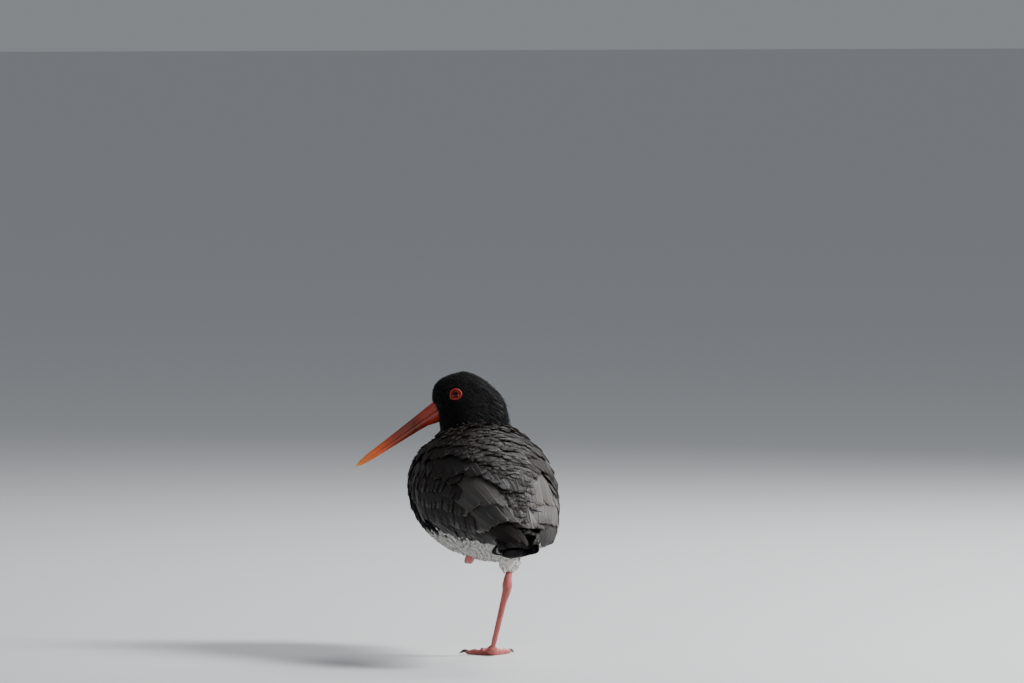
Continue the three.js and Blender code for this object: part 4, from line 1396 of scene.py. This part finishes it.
class OYSTER_OT_leg(bpy.types.Operator):
    """Bare standing leg, foot, toes and claws"""

    bl_idname = "oystercatcher.leg"
    bl_label = "Standing Leg"

    def execute(self, context):
        skin, toe_skin = leg_material(), leg_material(*TOE_PLATES)
        claw = grained_material("claw horn", 500, (0.012, 0.01, 0.009), (0.06, 0.045, 0.035), Roughness=0.35)
        piece = loft("leg_and_ankle", limb_stops(LEG_PATH, LEG_WIDE, LEG_DEEP, 64))
        piece.data.materials.append(skin)
        settle(piece, "leg_skin", "shank_right", "ankle_right", "tarsus_right")
        pad = loft("foot_pad", limb_stops(PAD_PATH, PAD_WIDE, PAD_DEEP, 24))
        pad.data.materials.append(skin)
        grounded(pad)
        settle(pad, "leg_skin")
        start = np.array([FOOT[0], FOOT[1] - 1, 0.0])
        for name, splay, length in TOES:
            turn = math.radians(splay)
            way = np.array([math.sin(turn), -math.cos(turn), 0])
            t = np.linspace(0, 1, 13)
            radius = TOE_HALF * (1.12 - 0.32 * t) * (1 + 0.13 * np.cos(t * math.pi * 6))
            points = start + way * (t * length)[:, None] + UP * (radius * 0.84)[:, None]
            toe = loft(f"toe_{name}", limb_stops(points, radius * 1.02, radius, 60, UP), 24)
            grounded(toe)
            toe.data.materials.append(toe_skin)
            settle(toe, "leg_skin", f"toe_{name}_right")
            root = start + way * (length - CLAW_OVERLAP)
            path = [root + UP * 2.6, root + way * 4.4 + UP * 2.5, root + way * 8.6 + UP * 0.45]
            stops = limb_stops(path, [1.3, 1.15, 0.4], [1.4, 1.2, 0.5], 20, UP)
            nail = loft(f"claw_{name}", stops, 18)
            grounded(nail)
            nail.data.materials.append(claw)
            settle(nail, "claw_horn", f"claw_{name}_right")
        return {"FINISHED"}


TUCKED_X = 17
TUCKED_OUT = 1.55


class OYSTER_OT_tucked_foot(bpy.types.Operator):
    """Toes of the tucked left foot showing under the belly"""

    bl_idname = "oystercatcher.tucked_foot"
    bl_label = "Tucked Foot"

    def execute(self, context):
        for name, out, higher, nodes in (
            ("inner", -TUCKED_OUT, 0, ("tucked_foot_left",)), ("outer", TUCKED_OUT, 0.6, ()),
        ):
            x = TUCKED_X + out
            points = [(x, -5, 78.5), (x, -14, 73.4), (TUCKED_X + out * 0.8, -20.5, 70.9 + higher)]
            stops = limb_stops(points, [2.6, 2.2, 0.8], [2.6, 2.2, 0.9], 30, UP)
            toe = loft(f"tucked_toe_{name}", stops, 22)
            toe.data.materials.append(leg_material(*TOE_PLATES))
            settle(toe, "leg_skin", *nodes)
        return {"FINISHED"}


# The stage is in metres and degrees
VIEW_AZIMUTH = math.radians(168)
VIEW_ELEVATION = math.radians(2.5)
VIEW_DISTANCE = 8
VIEW_ASIDE = 0.014
VIEW_HIGH = 0.2443
LENS = 362.1
SENSOR = 36
FLOOR_HALF = 30
LIT_MIDDLE = Vector((0, 0, 0.13))
# Lamps: name, place to the right of the bird, towards the camera and above it, size and power
LAMPS = (
    ("key", 1.7, 0.3, 1.25, 0.6, 72),
    ("fill", -1.4, 1.8, 0.9, 1.8, 3),
    ("rim", 0.9, -1.6, 1.3, 1.0, 30),
)


class OYSTER_OT_stage(bpy.types.Operator):
    """Pale floor, soft studio light and the camera"""

    bl_idname = "oystercatcher.stage"
    bl_label = "Stage"

    def execute(self, context):
        scene = context.scene
        bm = bmesh.new()
        bmesh.ops.create_grid(bm, x_segments=1, y_segments=1, size=FLOOR_HALF)
        mesh = finished(bm, "floor")
        material, _, _ = new_material("floor", Base_Color=(0.72, 0.73, 0.74, 1), Roughness=0.9)
        mesh.materials.append(material)
        floor = link("floor", mesh)
        world = bpy.data.worlds.new("studio")
        world.use_nodes = True
        background = world.node_tree.nodes["Background"]
        background.inputs[0].default_value = (0.78, 0.82, 0.88, 1)
        background.inputs[1].default_value = 0.3
        scene.world = world
        back = Vector((math.sin(VIEW_AZIMUTH), -math.cos(VIEW_AZIMUTH), 0))
        right = Vector((math.cos(VIEW_AZIMUTH), math.sin(VIEW_AZIMUTH), 0))
        for name, across, toward, high, size, power in LAMPS:
            lamp = bpy.data.lights.new(name, "AREA")
            lamp.energy = power
            lamp.size = size
            place = LIT_MIDDLE + right * across + back * toward + Vector((0, 0, high))
            made = bpy.data.objects.new(name, lamp)
            made.location = place
            made.rotation_euler = (LIT_MIDDLE - place).to_track_quat("-Z", "Y").to_euler()
            scene.collection.objects.link(made)
        camera = bpy.data.cameras.new("camera")
        camera.lens = LENS
        camera.sensor_width = SENSOR
        camera.clip_end = 40
        level, height = math.cos(VIEW_ELEVATION), math.sin(VIEW_ELEVATION)
        view = back * level + Vector((0, 0, height))
        upward = Vector((0, 0, level)) - back * height
        centre = Vector(to_row((0, 0, 0))) + right * VIEW_ASIDE + upward * VIEW_HIGH
        made = bpy.data.objects.new("camera", camera)
        made.location = centre + view * VIEW_DISTANCE
        made.rotation_euler = view.to_track_quat("Z", "Y").to_euler()
        scene.collection.objects.link(made)
        scene.camera = made
        return {"FINISHED"}


def colour(name, description, default):
    """A colour in the sidebar."""
    return FloatVectorProperty(
        name=name, description=description, subtype="COLOR", size=3, default=default, min=0, max=1,
    )


def length(name, description, default):
    """A length in the sidebar, given in metres."""
    return FloatProperty(
        name=name, description=description, unit="LENGTH", default=default, min=0.0005, max=0.1,
    )


class OystercatcherLooks(bpy.types.PropertyGroup):
    """Sizes and colours that can be changed"""

    face_tuft: length("Face feathers", "Length of the feathers round the eyes", 0.0024)
    neck_tuft: length("Neck feathers", "Length of the feathers low on the neck", 0.0076)
    body_tuft: length("Body feathers", "Length of the feathers of breast and belly", 0.0115)
    thigh_tuft: length("Thigh feathers", "Length of the feathers of the thigh", 0.006)
    tail_length: length("Tail", "Length of the middle tail feathers", 0.0575)
    black_colour: colour("Black", "Head, neck and breast plumage", (0.0026, 0.0026, 0.0032))
    back_colour: colour("Back", "Mantle and wing plumage", (0.032, 0.023, 0.018))
    # A painted sheen: the pale colour of the tertials stands in for light glancing off them.
    tertial_sheen_colour: colour("Worn", "Painted sheen of the tertials", (0.17, 0.148, 0.13))
    fringe_colour: colour("Fringe", "Worn pale edges of the back feathers", (0.34, 0.29, 0.24))
    white_colour: colour("White", "Belly and thigh plumage", (0.84, 0.82, 0.78))
    bill_colour: colour("Bill", "Root of the bill", (0.4, 0.035, 0.014))
    bill_tip_colour: colour("Bill tip", "Last third of the bill", (0.78, 0.11, 0.012))
    iris_colour: colour("Iris", "Eye colour", (0.36, 0.008, 0.004))
    # The eye ring's orange-red, darkened with painted shade.
    shaded_ring_colour: colour("Eye ring", "Bare ring round the eye", (0.32, 0.025, 0.007))
    leg_colour: colour("Leg", "Bare skin of legs and toes", (0.5, 0.115, 0.1))
    seed: IntProperty(name="Seed", description="Draw of the feathers' places", default=7, min=0)


PIECES = (
    OYSTER_OT_skin, OYSTER_OT_head_coat, OYSTER_OT_body_coat, OYSTER_OT_mantle, OYSTER_OT_wings,
    OYSTER_OT_tail, OYSTER_OT_bill, OYSTER_OT_eyes, OYSTER_OT_leg, OYSTER_OT_tucked_foot, OYSTER_OT_stage,
)


class OYSTER_PT_panel(bpy.types.Panel):
    """Lists the pieces and the looks"""

    bl_idname = "OYSTER_PT_panel"
    bl_label = "Oystercatcher"
    bl_space_type = "VIEW_3D"
    bl_region_type = "UI"
    bl_category = "Oystercatcher"

    def draw(self, context):
        for name in OystercatcherLooks.__annotations__:
            self.layout.prop(context.scene.oystercatcher, name)
        for piece in PIECES:
            self.layout.operator(piece.bl_idname)


CLASSES = (OystercatcherLooks, *PIECES, OYSTER_PT_panel)


def register():
    """Adds the classes and the looks."""
    for cls in CLASSES:
        bpy.utils.register_class(cls)
    bpy.types.Scene.oystercatcher = PointerProperty(type=OystercatcherLooks)


def unregister():
    """Takes the looks and the classes away again."""
    del bpy.types.Scene.oystercatcher
    for cls in reversed(CLASSES):
        bpy.utils.unregister_class(cls)


def main():
    """Builds every piece and the stage."""
    register()
    bpy.ops.oystercatcher.skin()
    bpy.ops.oystercatcher.head_coat()
    bpy.ops.oystercatcher.body_coat()
    bpy.ops.oystercatcher.mantle()
    bpy.ops.oystercatcher.wings()
    bpy.ops.oystercatcher.tail()
    bpy.ops.oystercatcher.bill()
    bpy.ops.oystercatcher.eyes()
    bpy.ops.oystercatcher.leg()
    bpy.ops.oystercatcher.tucked_foot()
    bpy.ops.oystercatcher.stage()


if __name__ == "__main__":
    main()
